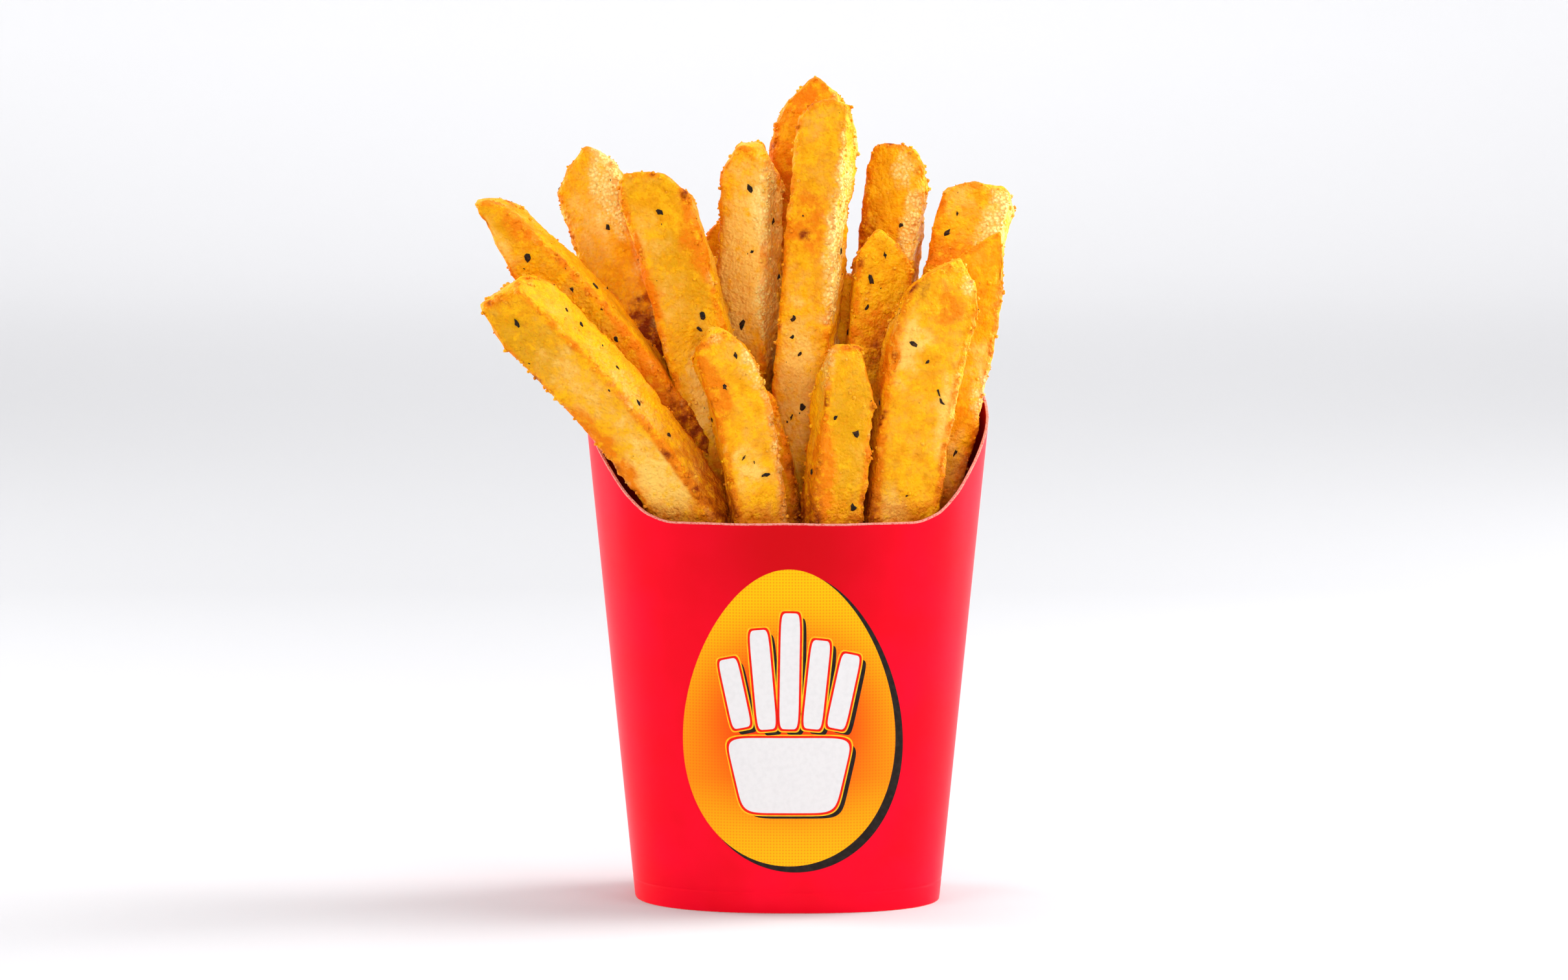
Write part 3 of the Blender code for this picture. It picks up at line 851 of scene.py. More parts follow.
@dataclass
class PrintedMark:
    """A plain mark printed on the front: a fan of white sticks on a shaded yellow egg.

    Each ink is a closed film a few hundredths of a mm thick that follows the board.
    """

    form: ScoopForm
    centre: Pair = (0.4, 36.5)
    egg_half_width: float = 19.2
    egg_half_height: float = 27.6
    egg_narrowing: float = 0.15
    shadow_offset: Pair = (1.15, -0.9)
    outline_width: float = 0.40
    fringe_width: float = 0.62
    stick_width: float = 3.5
    stick_shadow: Pair = (1.1, -0.95)
    film: float = 0.03
    sunk: float = 0.05
    sticks: tuple[Stick, ...] = (
        Stick(-9.9, 4.6, 13.0, -12.0),
        Stick(-4.8, 7.2, 18.5, -5.0),
        Stick(0.1, 8.8, 21.5, 1.0),
        Stick(5.0, 6.3, 16.5, 6.0),
        Stick(9.9, 5.0, 14.0, 12.0),
    )
    cup_width: float = 20.0
    cup_height: float = 14.0
    cup_up: float = -10.6

    def egg(self, grow: float) -> np.ndarray:
        """Outline of the egg: an ellipse whose width shrinks as it rises."""
        turn = np.arange(160) * 2 * math.pi / 160
        z = (self.egg_half_height + grow) * np.sin(turn)
        narrow = 1 - self.egg_narrowing * np.sin(turn)
        return np.stack([(self.egg_half_width + grow) * np.cos(turn) * narrow, z], axis=-1)

    def film_on_front(self, outline: np.ndarray, place: Pair,
                      layer: int) -> Skin:
        """A closed film that fills an outline and follows the front panel.

        Rows run from the middle of the film's face out to its outline, and back to
        the middle just under the board's surface.

        Args:
            outline: points across and up, round the film's own middle.
            place: where that middle is, from the centre of the mark.
            layer: which film this is, counted from the board up.

        Returns:
            The skin.
        """
        rings = max(2, round(np.abs(outline).max() / 1.2))
        shares = np.linspace(0, 1, rings + 1)[1:]
        shares = np.concatenate([shares, shares[::-1]])
        lifts = np.repeat([self.film * layer, -self.sunk], rings)
        middle = np.array(self.centre) + place
        flat = middle + outline * shares[:, None, None]
        grid = self.form.on_front(flat[..., 0], flat[..., 1],
                                  np.broadcast_to(lifts[:, None], flat.shape[:2]))
        ends = self.form.on_front(np.full(2, middle[0]), np.full(2, middle[1]),
                                  np.array([self.film * layer, -self.sunk]))
        return closed_tube(grid, ends[0], ends[1])

    def shapes(self, grow: float) -> list[tuple[np.ndarray, Pair]]:
        """Outlines and places of the fan's sticks and its cup, all made wider by grow."""
        made = [
            (rounded_bar(s.length + 2 * grow, self.stick_width + 2 * grow, s.lean, 0.0, 56),
             (s.across, s.up))
            for s in self.sticks
        ]
        cup = rounded_bar(self.cup_height + 2 * grow, self.cup_width + 2 * grow, 0.0, 0.16, 96)
        return [*made, (cup, (0.0, self.cup_up))]

    def build(self, axis: np.ndarray) -> list[Object]:
        """Make the six films of the mark, lowest first.

        Args:
            axis: where the scoop's axis stands in the frame, in mm.

        Returns:
            The pieces.
        """
        black = FlatInk("black_ink", "1E1714", "2C2420").material()
        white = FlatInk("bare_white_board", "DEDCDC", "D9D7D7").material()
        red = FlatInk("red_outline_ink", "E81A06", "DC1404").material()
        yellow = FlatInk("yellow_fringe_ink", "F6C024", "F0A810").material()
        middle = self.form.on_front(*np.array(self.centre)[:, None], 0.0)[0] + axis
        screened = ScreenedInk(tuple(middle), self.egg_half_height).material()
        shift = np.array(self.stick_shadow)
        films = {
            "print_egg_shadow": ([(self.egg(0.25), self.shadow_offset)], 1, black),
            "print_egg": ([(self.egg(0.0), (0.0, 0.0))], 2, screened),
            "print_fan_shadow": ([(o, tuple(np.array(p) + shift))
                                  for o, p in self.shapes(0.1)], 3, black),
            "print_fan_fringe": (self.shapes(self.fringe_width), 4, yellow),
            "print_fan_outline": (self.shapes(self.outline_width), 5, red),
            "print_fan": (self.shapes(0.0), 6, white),
        }
        made = []
        for name, (outlines, layer, ink) in films.items():
            skin = joined([self.film_on_front(o, p, layer) for o, p in outlines])
            piece = skin.to_object(name, [ink], axis, sharp_angle=40)
            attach(piece, BODY)
            made.append(piece)
        return made


# Fries: the power of their sections' outline, how soft the ridge between two cuts is,
# the rounding of a cut end's edge, the height below which the scoop hides them, and
# the height above which crumbs and specks lie on them
SECTION_POWER = 7.0
RIDGE_SOFTNESS = 0.4
END_ROUNDING = 0.9
HIDDEN_BELOW = 60.0
DUSTED_ABOVE = 64.0


@dataclass(frozen=True)
class Patch:
    """A patch of crust: tint, face, shares along and across, radius, strength, stretch."""

    tint: Tint
    face: Face
    along: float
    across: float
    radius: float
    strength: float = 1.0
    stretch: float = 1.6


def patched(*groups: tuple) -> tuple[Patch, ...]:
    """Patches from groups of a tint, a face and the other numbers of each patch."""
    return tuple(Patch(tint, face, *row) for tint, face, *rows in groups for row in rows)


@dataclass(frozen=True)
class Fry:
    """One fry: a line through three points, a rounded oblong section and a cut end.

    width and depth are its sides across and away from the viewer, roll turns the
    section to show its right side, and swell is its width at the tip over that at the
    foot. Each cut slices its end along a plane: how far past the tip the plane meets
    the line, and how much it rises per mm to the viewer's right and towards the viewer.
    Its looks are how olive, orange and pale it is all over, and how knobbly its right
    face is.
    """

    name: str
    foot: Point
    middle: Point
    tip: Point
    width: float
    depth: float
    roll: float
    swell: float
    cuts: tuple[Point, ...]
    olive: float = 0.2
    orange: float = 0.2
    pale: float = 0.3
    knobbly: float = 0.1
    patches: tuple[Patch, ...] = ()

    def line(self, along: np.ndarray) -> tuple[np.ndarray, np.ndarray]:
        """Points and directions of the parabola through foot, middle and tip."""
        foot, middle, tip = (np.array(p, float) for p in (self.foot, self.middle, self.tip))
        t = np.asarray(along, float)[..., None]
        points = foot * (1 - t) * (1 - 2 * t) + middle * 4 * t * (1 - t) + tip * t * (2 * t - 1)
        ways = foot * (4 * t - 3) + middle * (4 - 8 * t) + tip * (4 * t - 1)
        return points, unit(ways)

    def length(self) -> float:
        """Length along the line, in 32 straight steps."""
        points, _ = self.line(np.linspace(0, 1, 33))
        return float(np.linalg.norm(np.diff(points, axis=0), axis=1).sum())

    def area(self) -> float:
        """Length times width, which sets how many flakes and specks lie on it."""
        return self.length() * self.width

    def place(self, along: np.ndarray, across: np.ndarray, out: np.ndarray) -> np.ndarray:
        """Points at shares of the length, the half width and the half depth."""
        points, ways = self.line(along)
        level = unit(np.cross(ways, (0.0, -1.0, 0.0)))
        faced = np.cross(level, ways)
        turn = math.radians(self.roll)
        right = level * math.cos(turn) + faced * math.sin(turn)
        front = faced * math.cos(turn) - level * math.sin(turn)
        half_width = self.width / 2 * (1 + (self.swell - 1) * along)
        return points + right * (across * half_width)[..., None] \
            + front * (out * self.depth / 2)[..., None]

    def cut_height(self, across: np.ndarray, out: np.ndarray) -> np.ndarray:
        """How far past its tip the fry reaches at places of its section, in mm.

        It is the smooth least of its cuts: -k log(sum of exp(-height / k)), where k
        is the softness of the ridges and a cut's height is its lift + rise to the
        right * mm to the right + rise to the front * mm to the front.
        """
        turn = math.radians(self.roll)
        side = across * self.width / 2 * self.swell
        forward = out * self.depth / 2
        right = side * math.cos(turn) - forward * math.sin(turn)
        front = side * math.sin(turn) + forward * math.cos(turn)
        heights = [lift + to_right * right + to_front * front
                   for lift, to_right, to_front in self.cuts]
        return -RIDGE_SOFTNESS * np.log(np.sum(np.exp(-np.array(heights) / RIDGE_SOFTNESS), axis=0))

    def outline(self, spacing: float) -> tuple[np.ndarray, np.ndarray]:
        """Shares across and out, evenly spaced round |across|^7 + |out|^7 = 1."""
        turn = np.linspace(0, 2 * math.pi, 2881)
        shares = [np.sign(v) * np.abs(v) ** (2 / SECTION_POWER)
                  for v in (np.cos(turn), -np.sin(turn))]
        steps = np.hypot(np.diff(shares[0] * self.width / 2), np.diff(shares[1] * self.depth / 2))
        run = np.concatenate([[0], np.cumsum(steps)])
        count = 2 * round(run[-1] / spacing / 2)
        even = np.arange(count) * run[-1] / count
        return np.interp(even, run, shares[0]), np.interp(even, run, shares[1])


FRIES = (
    Fry("left_low", (-3.5, -11.5, 50), (-25.2, -13.6, 85.2), (-52.6, -16.0, 114.8),
        11.8, 10.5, 26, 1.0,
        ((-0.65, -0.2, 0.1), (5.1, -1.45, 0.0), (13.5, 3.1, 0.0), (4.0, 0.0, -1.0)),
        olive=0.2, orange=0.1, pale=0.22, knobbly=0.12, patches=patched(
            (CREAM, FRONT, (0.42, -0.1, 7, 0.8, 1.8), (0.72, 0.1, 5, 0.3, 1.8)),
            (OLIVE, FRONT, (0.86, -0.2, 6, 0.9), (0.30, -0.6, 5, 0.9)),
            (AMBER, FRONT, (0.56, -0.95, 4, 1.0, 3.0)),
            (BROWN, LEFT, (0.58, 0.2, 3, 0.4)),
            (GLASSY, RIGHT, (0.66, 0.3, 4, 0.25, 3.4)),
        )),
    Fry("left_long", (-4.5, -1.0, 53), (-26.8, -3.5, 94.8), (-58.6, -6.0, 128.2),
        13.4, 10.5, 8, 0.92,
        ((-5.75, 2.5, 0.0), (2.4, -1.05, 0.0), (6.9, -2.1, 0.0), (3.0, 0.0, 0.8)),
        olive=0.75, orange=0.2, pale=0.1, patches=patched(
            (CREAM, FRONT, (0.93, -0.3, 3.4, 0.7)),
            (AMBER, FRONT, (0.90, 0.8, 3.0, 0.7, 1.8)),
            (AMBER, LEFT, (0.83, 0.5, 4, 1.0)),
            (AMBER, FRONT, (0.45, 0.6, 6, 0.9, 3.0)),
            (BROWN, FRONT, (0.38, 0.8, 5, 0.7, 2.4)),
        )),
    Fry("left_tall", (-10.0, 7.0, 50), (-25.0, 9.0, 96), (-37.3, 12.0, 138.6),
        12.8, 10.0, 18, 0.95,
        ((-0.5, 0.68, 0.1), (1.1, -1.15, 0.0), (2.0, 1.3, 0.0), (8.5, -2.9, 0.0)),
        olive=0.1, orange=0.15, pale=0.3, knobbly=0.9, patches=patched(
            (CREAM, FRONT, (0.82, -0.3, 5, 0.5)),
            (GLASSY, FRONT, (0.90, 0.85, 4.8, 1.2, 2.4)),
            # the amber patch and the two lower brown patches are painted shade, low on the front
            # where the fries beside it shade it
            (AMBER, FRONT, (0.56, 0.2, 7, 0.6, 1.8)),
            (BROWN, FRONT, (0.57, 0.75, 4.5, 1.1, 2.4), (0.44, 0.4, 8, 1.1, 1.8),
             (0.25, 0.2, 8, 0.9, 1.8)),
        )),
    Fry("left_blunt", (-1.5, -5.0, 45), (-12.6, -3.5, 90), (-25.3, 0.0, 134.2),
        12.8, 10.0, 3, 1.0,
        ((0.1, -0.33, 0.1), (4.5, -1.65, 0.0), (11.6, 2.2, 0.0), (4.5, 0.0, 1.4)),
        olive=0.55, orange=0.15, pale=0.3, patches=patched(
            (CREAM, FRONT, (0.56, 0.1, 6.0, 0.6, 1.7), (0.86, -0.5, 4, 0.3, 1.6)),
            (AMBER, FRONT, (0.84, 0.85, 4.0, 0.8, 2.2)),
            (AMBER, LEFT, (0.80, 0.8, 3.0, 0.7, 3.0)),
            (OLIVE, FRONT, (0.78, 0.0, 7, 0.9)),
            (AMBER, FRONT, (0.36, -0.4, 5, 0.9, 2.0)),
        )),
    Fry("middle_left", (-7.0, 6.0, 45), (-7.2, 7.0, 92), (-6.4, 7.0, 140.5),
        9.8, 9.0, 22, 1.0,
        ((-0.55, 0.14, 0.0), (3.8, 1.8, 0.0), (3.3, -2.0, 0.0), (3.5, 0.0, -1.2)),
        olive=0.15, orange=0.1, pale=0.5, knobbly=0.8, patches=patched(
            (CREAM, FRONT, (0.76, 0.0, 5, 0.8, 3.4)),
            (OLIVE, FRONT, (0.46, 0.0, 6, 0.8, 1.6)),
            (BROWN, RIGHT, (0.78, 0.4, 1.4, 0.5, 1.6)),
            # painted highlight: cream on the right face, where the light glints
            (CREAM, RIGHT, (0.80, 0.6, 5.0, 0.9, 3.0)),
            (GLASSY, RIGHT, (0.88, 0.6, 4.0, 1.1, 2.6), (0.68, 0.7, 3.0, 0.9, 3.0)),
        )),
    Fry("tallest", (1.5, -4.0, 42), (3.3, -1.5, 95), (8.0, 2.0, 147.9),
        10.8, 9.5, 15, 0.88,
        ((-0.25, 0.3, 0.1), (2.4, 1.1, 0.0), (15.8, -4.4, 0.0), (0.95, -0.5, 0.0)),
        olive=0.1, orange=0.3, pale=0.2, knobbly=0.9, patches=patched(
            (CREAM, FRONT, (0.50, -0.1, 6.0, 0.65, 2.6)),
            (OLIVE, FRONT, (0.30, 0.0, 7, 0.7, 1.8)),
            (AMBER, FRONT, (0.79, 0.0, 5, 0.6, 1.4)),
            (BROWN, FRONT, (0.765, -0.2, 1.6, 0.7, 0.8)),
            (GLASSY, RIGHT, (0.76, 0.5, 3.4, 1.0, 4.0)),
            (AMBER, RIGHT, (0.50, 0.4, 4, 0.6, 3.0)),
        )),
    Fry("tallest_behind", (-3.0, 12.0, 60), (0.6, 14.0, 112), (5.0, 16.0, 151.8),
        11.5, 9.0, 8, 1.0,
        ((-0.4, 0.77, 0.0), (0.3, 1.64, 0.0), (4.9, 2.9, 0.0), (0.5, -0.95, 0.0)),
        olive=0.0, orange=0.4, pale=0.05, knobbly=0.4, patches=patched(
            (AMBER, FRONT, (0.97, -0.5, 4, 0.8), (0.70, -0.4, 6, 0.7, 1.8)),
            (BROWN, LEFT, (0.74, 0.4, 2.4, 0.8, 1.6)),
        )),
    Fry("short_pointed", (-4.5, -14.0, 45), (-6.0, -15.0, 78), (-13.2, -13.5, 107.2),
        9.8, 9.5, -8, 1.1,
        ((1.3, 1.0, 0.0), (0.1, -0.67, 0.0), (2.0, -1.77, 0.0), (12.0, -4.1, 0.0),
         (2.0, 0.0, -0.9)),
        olive=0.2, orange=0.1, pale=0.2, knobbly=0.6, patches=patched(
            (GLASSY, FRONT, (0.98, -0.2, 2.0, 0.3, 1.2), (0.86, 0.8, 3.0, 0.6, 2.4)),
            (AMBER, FRONT, (0.80, -0.8, 3.4, 1.3, 2.2)),
            (CREAM, FRONT, (0.56, -0.2, 3.2, 0.6, 1.5)),
            (OLIVE, FRONT, (0.35, 0.3, 4, 0.6)),
        )),
    Fry("short_behind", (0.5, -10.0, 45), (-2.2, -9.0, 72), (-7.4, -6.0, 95.5),
        9.5, 7.5, 0, 1.0,
        ((0.0, -0.3, 0.1), (4.5, 1.8, 0.0), (5.0, -1.9, 0.0)),
        olive=0.3, orange=0.5, pale=0.0),
    Fry("short_round", (7.5, -14.0, 45), (8.8, -15.5, 80), (11.6, -14.0, 104.9),
        10.0, 9.5, -17, 1.0,
        ((-1.5, 0.16, 0.0), (9.3, 3.9, 0.0), (3.2, -3.0, 0.0), (2.5, 0.0, -1.0)),
        olive=0.7, orange=0.1, pale=0.15, patches=patched(
            (GLASSY, LEFT, (0.88, 0.8, 2.4, 0.5, 2.0)),
            (AMBER, FRONT, (0.52, -0.95, 3.5, 1.2, 3.0)),
            (OLIVE, FRONT, (0.66, 0.3, 5, 1.0, 1.8)),
        )),
    Fry("right_tall", (13.0, 10.0, 55), (17.4, 11.5, 104), (21.6, 13.5, 138.4),
        12.8, 9.5, 10, 0.78,
        ((0.98, 0.37, 0.1), (0.2, -0.22, 0.0), (6.2, -2.8, 0.0), (7.0, 1.6, 0.0)),
        olive=0.05, orange=0.10, pale=0.05, knobbly=1.0, patches=patched(
            (BROWN, FRONT, (0.74, -0.7, 3.0, 0.45, 1.8)),
            (AMBER, FRONT, (0.72, -0.8, 4.0, 0.5, 2.0)),
            (GLASSY, FRONT, (0.93, 0.3, 2.8, 0.8, 1.4), (0.76, 0.85, 2.6, 1.1, 3.4)),
        )),
    Fry("right_pointed", (10.0, -1.5, 50), (15.0, 0.5, 95), (18.3, 2.0, 124.0),
        10.6, 8.5, -8, 1.0,
        ((3.1, 2.37, 0.0), (-1.7, -1.45, 0.0), (1.5, 0.0, 1.0)),
        olive=0.0, orange=0.10, pale=0.1, patches=patched(
            (AMBER, FRONT, (0.64, 0.1, 5, 0.8, 1.5)),
            (BROWN, FRONT, (0.60, 0.0, 3.4, 0.5, 1.4)),
        )),
    Fry("right_broad", (20.0, -9.5, 42), (21.9, -11.0, 84), (29.8, -8.5, 119.2),
        12.6, 10.5, -10, 1.16,
        ((-0.5, 1.2, 0.0), (13.5, 3.6, 0.0), (2.9, -1.05, 0.0), (16.5, -3.25, 0.0),
         (5.0, 0.0, -1.3)),
        olive=0.1, orange=0.15, pale=0.2, patches=patched(
            (CREAM, FRONT, (0.75, -0.65, 4.0, 0.8, 1.9), (0.34, -0.45, 3.6, 0.6, 2.2),
             (0.60, 0.85, 3.0, 0.7, 3.2)),
            (GLASSY, FRONT, (0.95, 0.5, 2.0, 0.5, 1.3)),
            (BROWN, FRONT, (0.90, -0.6, 2.2, 0.4, 1.5)),
            (AMBER, FRONT, (0.87, 0.1, 4.0, 0.6, 1.2)),
            (AMBER, LEFT, (0.72, 0.4, 3.4, 0.8, 2.0)),
            (OLIVE, LEFT, (0.45, 0.0, 7, 0.9, 2.4)),
        )),
    Fry("right_outer", (19.0, 1.0, 55), (29.0, 0.5, 88), (35.3, 2.5, 123.6),
        11.5, 9.0, -5, 1.0,
        ((-2.2, 0.96, 0.0), (-1.15, 0.45, 0.0), (22.0, -5.2, 0.0), (2.0, 0.0, 0.9)),
        olive=0.1, orange=0.35, pale=0.1, knobbly=0.4, patches=patched(
            (OLIVE, FRONT, (0.93, -0.4, 4, 0.8)),
            (CREAM, FRONT, (0.66, 0.6, 3.6, 0.6, 1.7)),
            (GLASSY, FRONT, (0.62, 0.8, 2.4, 0.5, 2.4)),
            (CREAM, FRONT, (0.42, 0.4, 4, 0.4, 1.7)),
            (BROWN, FRONT, (0.22, 0.5, 4, 0.8, 1.4)),
        )),
    Fry("right_far", (18.0, 6.0, 55), (27.7, 7.4, 98), (36.5, 12.5, 132.0),
        12.0, 9.5, 12, 1.05,
        ((1.0, 0.78, 0.0), (-0.54, 0.235, 0.1), (6.4, -1.5, 0.0), (4.5, 0.0, -1.4)),
        olive=0.1, orange=0.3, pale=0.15, knobbly=0.8, patches=patched(
            (CREAM, FRONT, (0.93, -0.5, 3.5, 0.4, 1.3)),
            (GLASSY, FRONT, (0.88, 0.75, 3.0, 0.9, 3.0)),
            (AMBER, FRONT, (0.70, 0.0, 6, 0.7, 1.5)),
        )),
    Fry("rear_small", (-8.0, 12.0, 60), (-10.0, 14.0, 103), (-10.6, 15.0, 124.6),
        9.0, 8.0, 0, 1.0,
        ((0.4, 0.1, 0.1), (5.8, 2.8, 0.0), (5.5, -2.6, 0.0)),
        olive=0.0, orange=0.3, pale=0.1),
    Fry("rear_slim", (8.5, 5.0, 55), (10.2, 5.5, 90), (11.8, 5.5, 115.5),
        8.5, 7.5, 0, 1.0,
        ((-0.3, -0.25, 0.1), (4.0, 2.0, 0.0), (4.0, -2.0, 0.0)),
        olive=0.0, orange=0.6, pale=0.0),
    Fry("back_left", (-13.0, 12.0, 50), (-17.5, 14.5, 84), (-20.0, 17.0, 110.0),
        10.5, 9.0, -12, 1.0,
        ((0.0, 0.3, 0.15), (5.0, -1.6, 0.0), (7.0, 2.4, 0.0)),
        olive=0.3, orange=0.2, pale=0.3),
    Fry("back_middle", (6.0, 15.0, 50), (8.0, 16.5, 84), (11.0, 18.5, 113.0),
        11.0, 8.5, 8, 1.0,
        ((0.0, -0.35, -0.1), (5.5, 1.8, 0.0), (7.0, -2.2, 0.0)),
        olive=0.1, orange=0.4, pale=0.2),
    Fry("back_right", (17.0, 11.0, 50), (20.0, 13.0, 80), (23.0, 14.5, 108.0),
        10.0, 8.5, -15, 1.0,
        ((0.0, 0.25, 0.1), (6.0, -2.0, 0.0), (4.5, 1.5, 0.0)),
        olive=0.4, orange=0.2, pale=0.2),
)


# Short fries low in the scoop, seen only from above: the middle of each tip, and roll
INNER_TIPS = (
    ((-19.0, -11.5, 67.5), 12),
    ((-22.5, -1.0, 69.0), -9),
    ((-19.5, 9.0, 68.0), 20),
    ((-9.5, -4.5, 70.0), -14),
    ((2.5, 4.5, 70.5), 5),
    ((13.5, -7.5, 69.5), 16),
    ((27.0, -3.5, 67.5), -12),
    ((24.5, 7.0, 69.0), 8),
    ((10.0, 10.0, 70.0), -18),
)
INNER_WIDTH = 9.8
INNER_DEPTH = 8.6
INNER_FOOT = 45.0
INNER_LEAN = 0.85
INNER_CUTS = ((0.0, 0.3, 0.12), (4.2, 1.8, 0.0), (4.0, -1.6, 0.0))


def inner_fries() -> list[Fry]:
    """The short fries that fill the scoop between the ones that show."""
    made = []
    for number, (tip, roll) in enumerate(INNER_TIPS):
        foot = (tip[0] * INNER_LEAN, tip[1] * INNER_LEAN, INNER_FOOT)
        middle = tuple((a + b) / 2 for a, b in zip(foot, tip))
        made.append(Fry(f"inner_{number}", foot, middle, tip, INNER_WIDTH, INNER_DEPTH, roll,
                        1.0, INNER_CUTS, olive=0.2, orange=0.4, pale=0.1 + 0.05 * number))
    return made


@dataclass
class FriedStick:
    """One fry's crust as a grid of points, with what its crumbs and pepper need to know."""

    fry: Fry
    form: ScoopForm
    number: int
    spacing: float = 0.42
    wall_gap: float = 0.12
    corner_reach: Pair = (0.66, 0.90)
    brink_mm: float = 1.6
    brink_reach: Pair = (0.62, 0.95)
    relief_seed: int = 100
    swell_mm: float = 16.0
    lump_mm: float = 6.0
    crust_mm: float = 2.4
    crumble_mm: float = 1.7
    blister_mm: float = 1.2
    grain_mm: float = 0.8
    tint_seed: int = 300
    cloud_mm: float = 11.0
    drift_mm: float = 8.0
    drift_shift: float = 57.0
    break_mm: float = 4.0
    # reaches of the painted shade: deep behind the front row, low on the sides and just above the
    # rim
    shade_behind_height: Pair = (112.0, 82.0)
    shade_behind_place: Pair = (-4.0, 5.0)
    low_shade_height: Pair = (98.0, 74.0)
    side_reach: Pair = (0.55, 0.98)
    rim_height: Pair = (80.0, 71.0)
    past_tip: np.ndarray = field(init=False)
    across: np.ndarray = field(init=False)
    out: np.ndarray = field(init=False)
    grid: np.ndarray = field(init=False)
    normals: np.ndarray = field(init=False)
    ways: np.ndarray = field(init=False)
    edge: np.ndarray = field(init=False)
    tints: dict[str, np.ndarray] = field(init=False)

    def __post_init__(self) -> None:
        """Work out the smooth form, then its relief, then its tints."""
        self._form_smooth()
        self._raise_relief()
        self._tint()

    def _form_smooth(self) -> None:
        """Carry the section along the line to where the cuts end it, and close it.

        Rows rise evenly to where the first corner is cut. From there each column runs
        on to its own cut height, so the rows fan out; then the edge is rounded, by
        height - r (1 - sin) and inset r (1 - cos), and rings close the cut face.
        """
        fry, length = self.fry, self.fry.length()
        across, out = fry.outline(self.spacing)
        reach = fry.cut_height(across, out)
        start = reach.min() - END_ROUNDING - self.spacing
        heights = fry.line(np.linspace(0, 1, 401))[0][:, 2]
        shown = min(np.argmax(heights > HIDDEN_BELOW) / 400 * length - length, start - 2.0)
        body = np.concatenate([np.linspace(-length, shown, 8)[:-1],
                               np.arange(shown, start, self.spacing)])
        fan = np.arange(1, 1 + max(4, round((reach.max() - END_ROUNDING - start) / self.spacing)))
        fanned = start + (reach - END_ROUNDING - start) * (fan / fan[-1])[:, None]
        turn = np.linspace(0, math.pi / 2, 5)[1:]
        half = min(fry.width, fry.depth) / 2
        rounding = 1 - END_ROUNDING * (1 - np.cos(turn)) / half
        rings = np.linspace(rounding[-1], 0, max(4, round(half / self.spacing)))[1:-1]
        shares = np.concatenate([rounding, rings])
        drops = np.concatenate([END_ROUNDING * (1 - np.sin(turn)), 0 * rings])
        closing = fry.cut_height(shares[:, None] * across, shares[:, None] * out)
        self.past_tip = np.concatenate([body[:, None] + 0 * reach, fanned,
                                        closing - drops[:, None]])
        shares = np.concatenate([np.ones(len(body) + len(fan)), shares])[:, None]
        self.across, self.out = shares * across, shares * out
        along = 1 + self.past_tip / length
        self.grid = fry.place(along, self.across, self.out)
        self.ways = fry.line(along)[1]
        corner = eased(*self.corner_reach, np.minimum(np.abs(across), np.abs(out)))
        near_cut = eased(-self.brink_mm, 0.0, self.past_tip - reach)
        brink = near_cut * eased(*self.brink_reach, shares)
        self.edge = np.maximum(corner * eased(0.6, 1.0, shares), brink)

    def _outward(self) -> np.ndarray:
        """Directions that face out of the grid: round it times along it."""
        round_it = np.roll(self.grid, -1, axis=1) - np.roll(self.grid, 1, axis=1)
        along_it = np.gradient(self.grid, axis=0)
        return unit(np.cross(round_it, along_it))

    def _raise_relief(self) -> None:
        """Lift the crust by a sum of noises, from slow swells to grains.

        Crust, blisters and grains grow at the edges, crumbs stand only there, and a
        knobbly right face has more crust and grains.
        """
        noise = Noise(self.relief_seed + self.number)
        at = self.grid
        swell = 0.50 * noise.at(at, self.swell_mm) + 0.32 * noise.at(at, self.lump_mm)
        crust = noise.at(at, self.crust_mm)
        fine = noise.at(at, self.blister_mm)
        right = eased(0.3, 0.95, self.across)
        knobbly = self.fry.knobbly * right
        rough = 0.15 + 0.16 * self.edge + 0.24 * knobbly
        crumbly = self.edge * np.maximum(noise.at(at, self.crumble_mm), 0) * 0.36
        grains = np.maximum(noise.at(at, self.grain_mm), 0)
        grains = grains * (0.07 + 0.20 * self.edge + 0.14 * knobbly)
        height = swell + rough * crust + (0.08 + 0.09 * self.edge) * fine + crumbly + grains
        lifted = at + self._outward() * height[..., None]
        self.grid = self.form.pressed_inside(lifted, self.wall_gap)
        self.normals = self._outward()

    def _tint(self) -> None:
        """Share of each tint at each point, from 0 to 1.

        Edges turn amber and faces keep soft cream and olive clouds. Painted shade turns
        the crust amber and brown deep behind the front row, low on the sides and just
        above the rim, where the fries shade each other and the scoop. Glossy patches
        stay pale, with their painted highlight, and keep brown off. Each patch adds its
        own share, fading from its middle with an outline broken by lumps.
        """
        noise = Noise(self.tint_seed + self.number)
        fry, at = self.fry, self.grid
        cloud = noise.at(at, self.cloud_mm)
        drift = noise.at(at + self.drift_shift, self.drift_mm)
        break_up = noise.layered(at, self.break_mm, 3, 0.6)
        face = 1 - self.edge
        right = eased(0.4, 0.95, self.across)
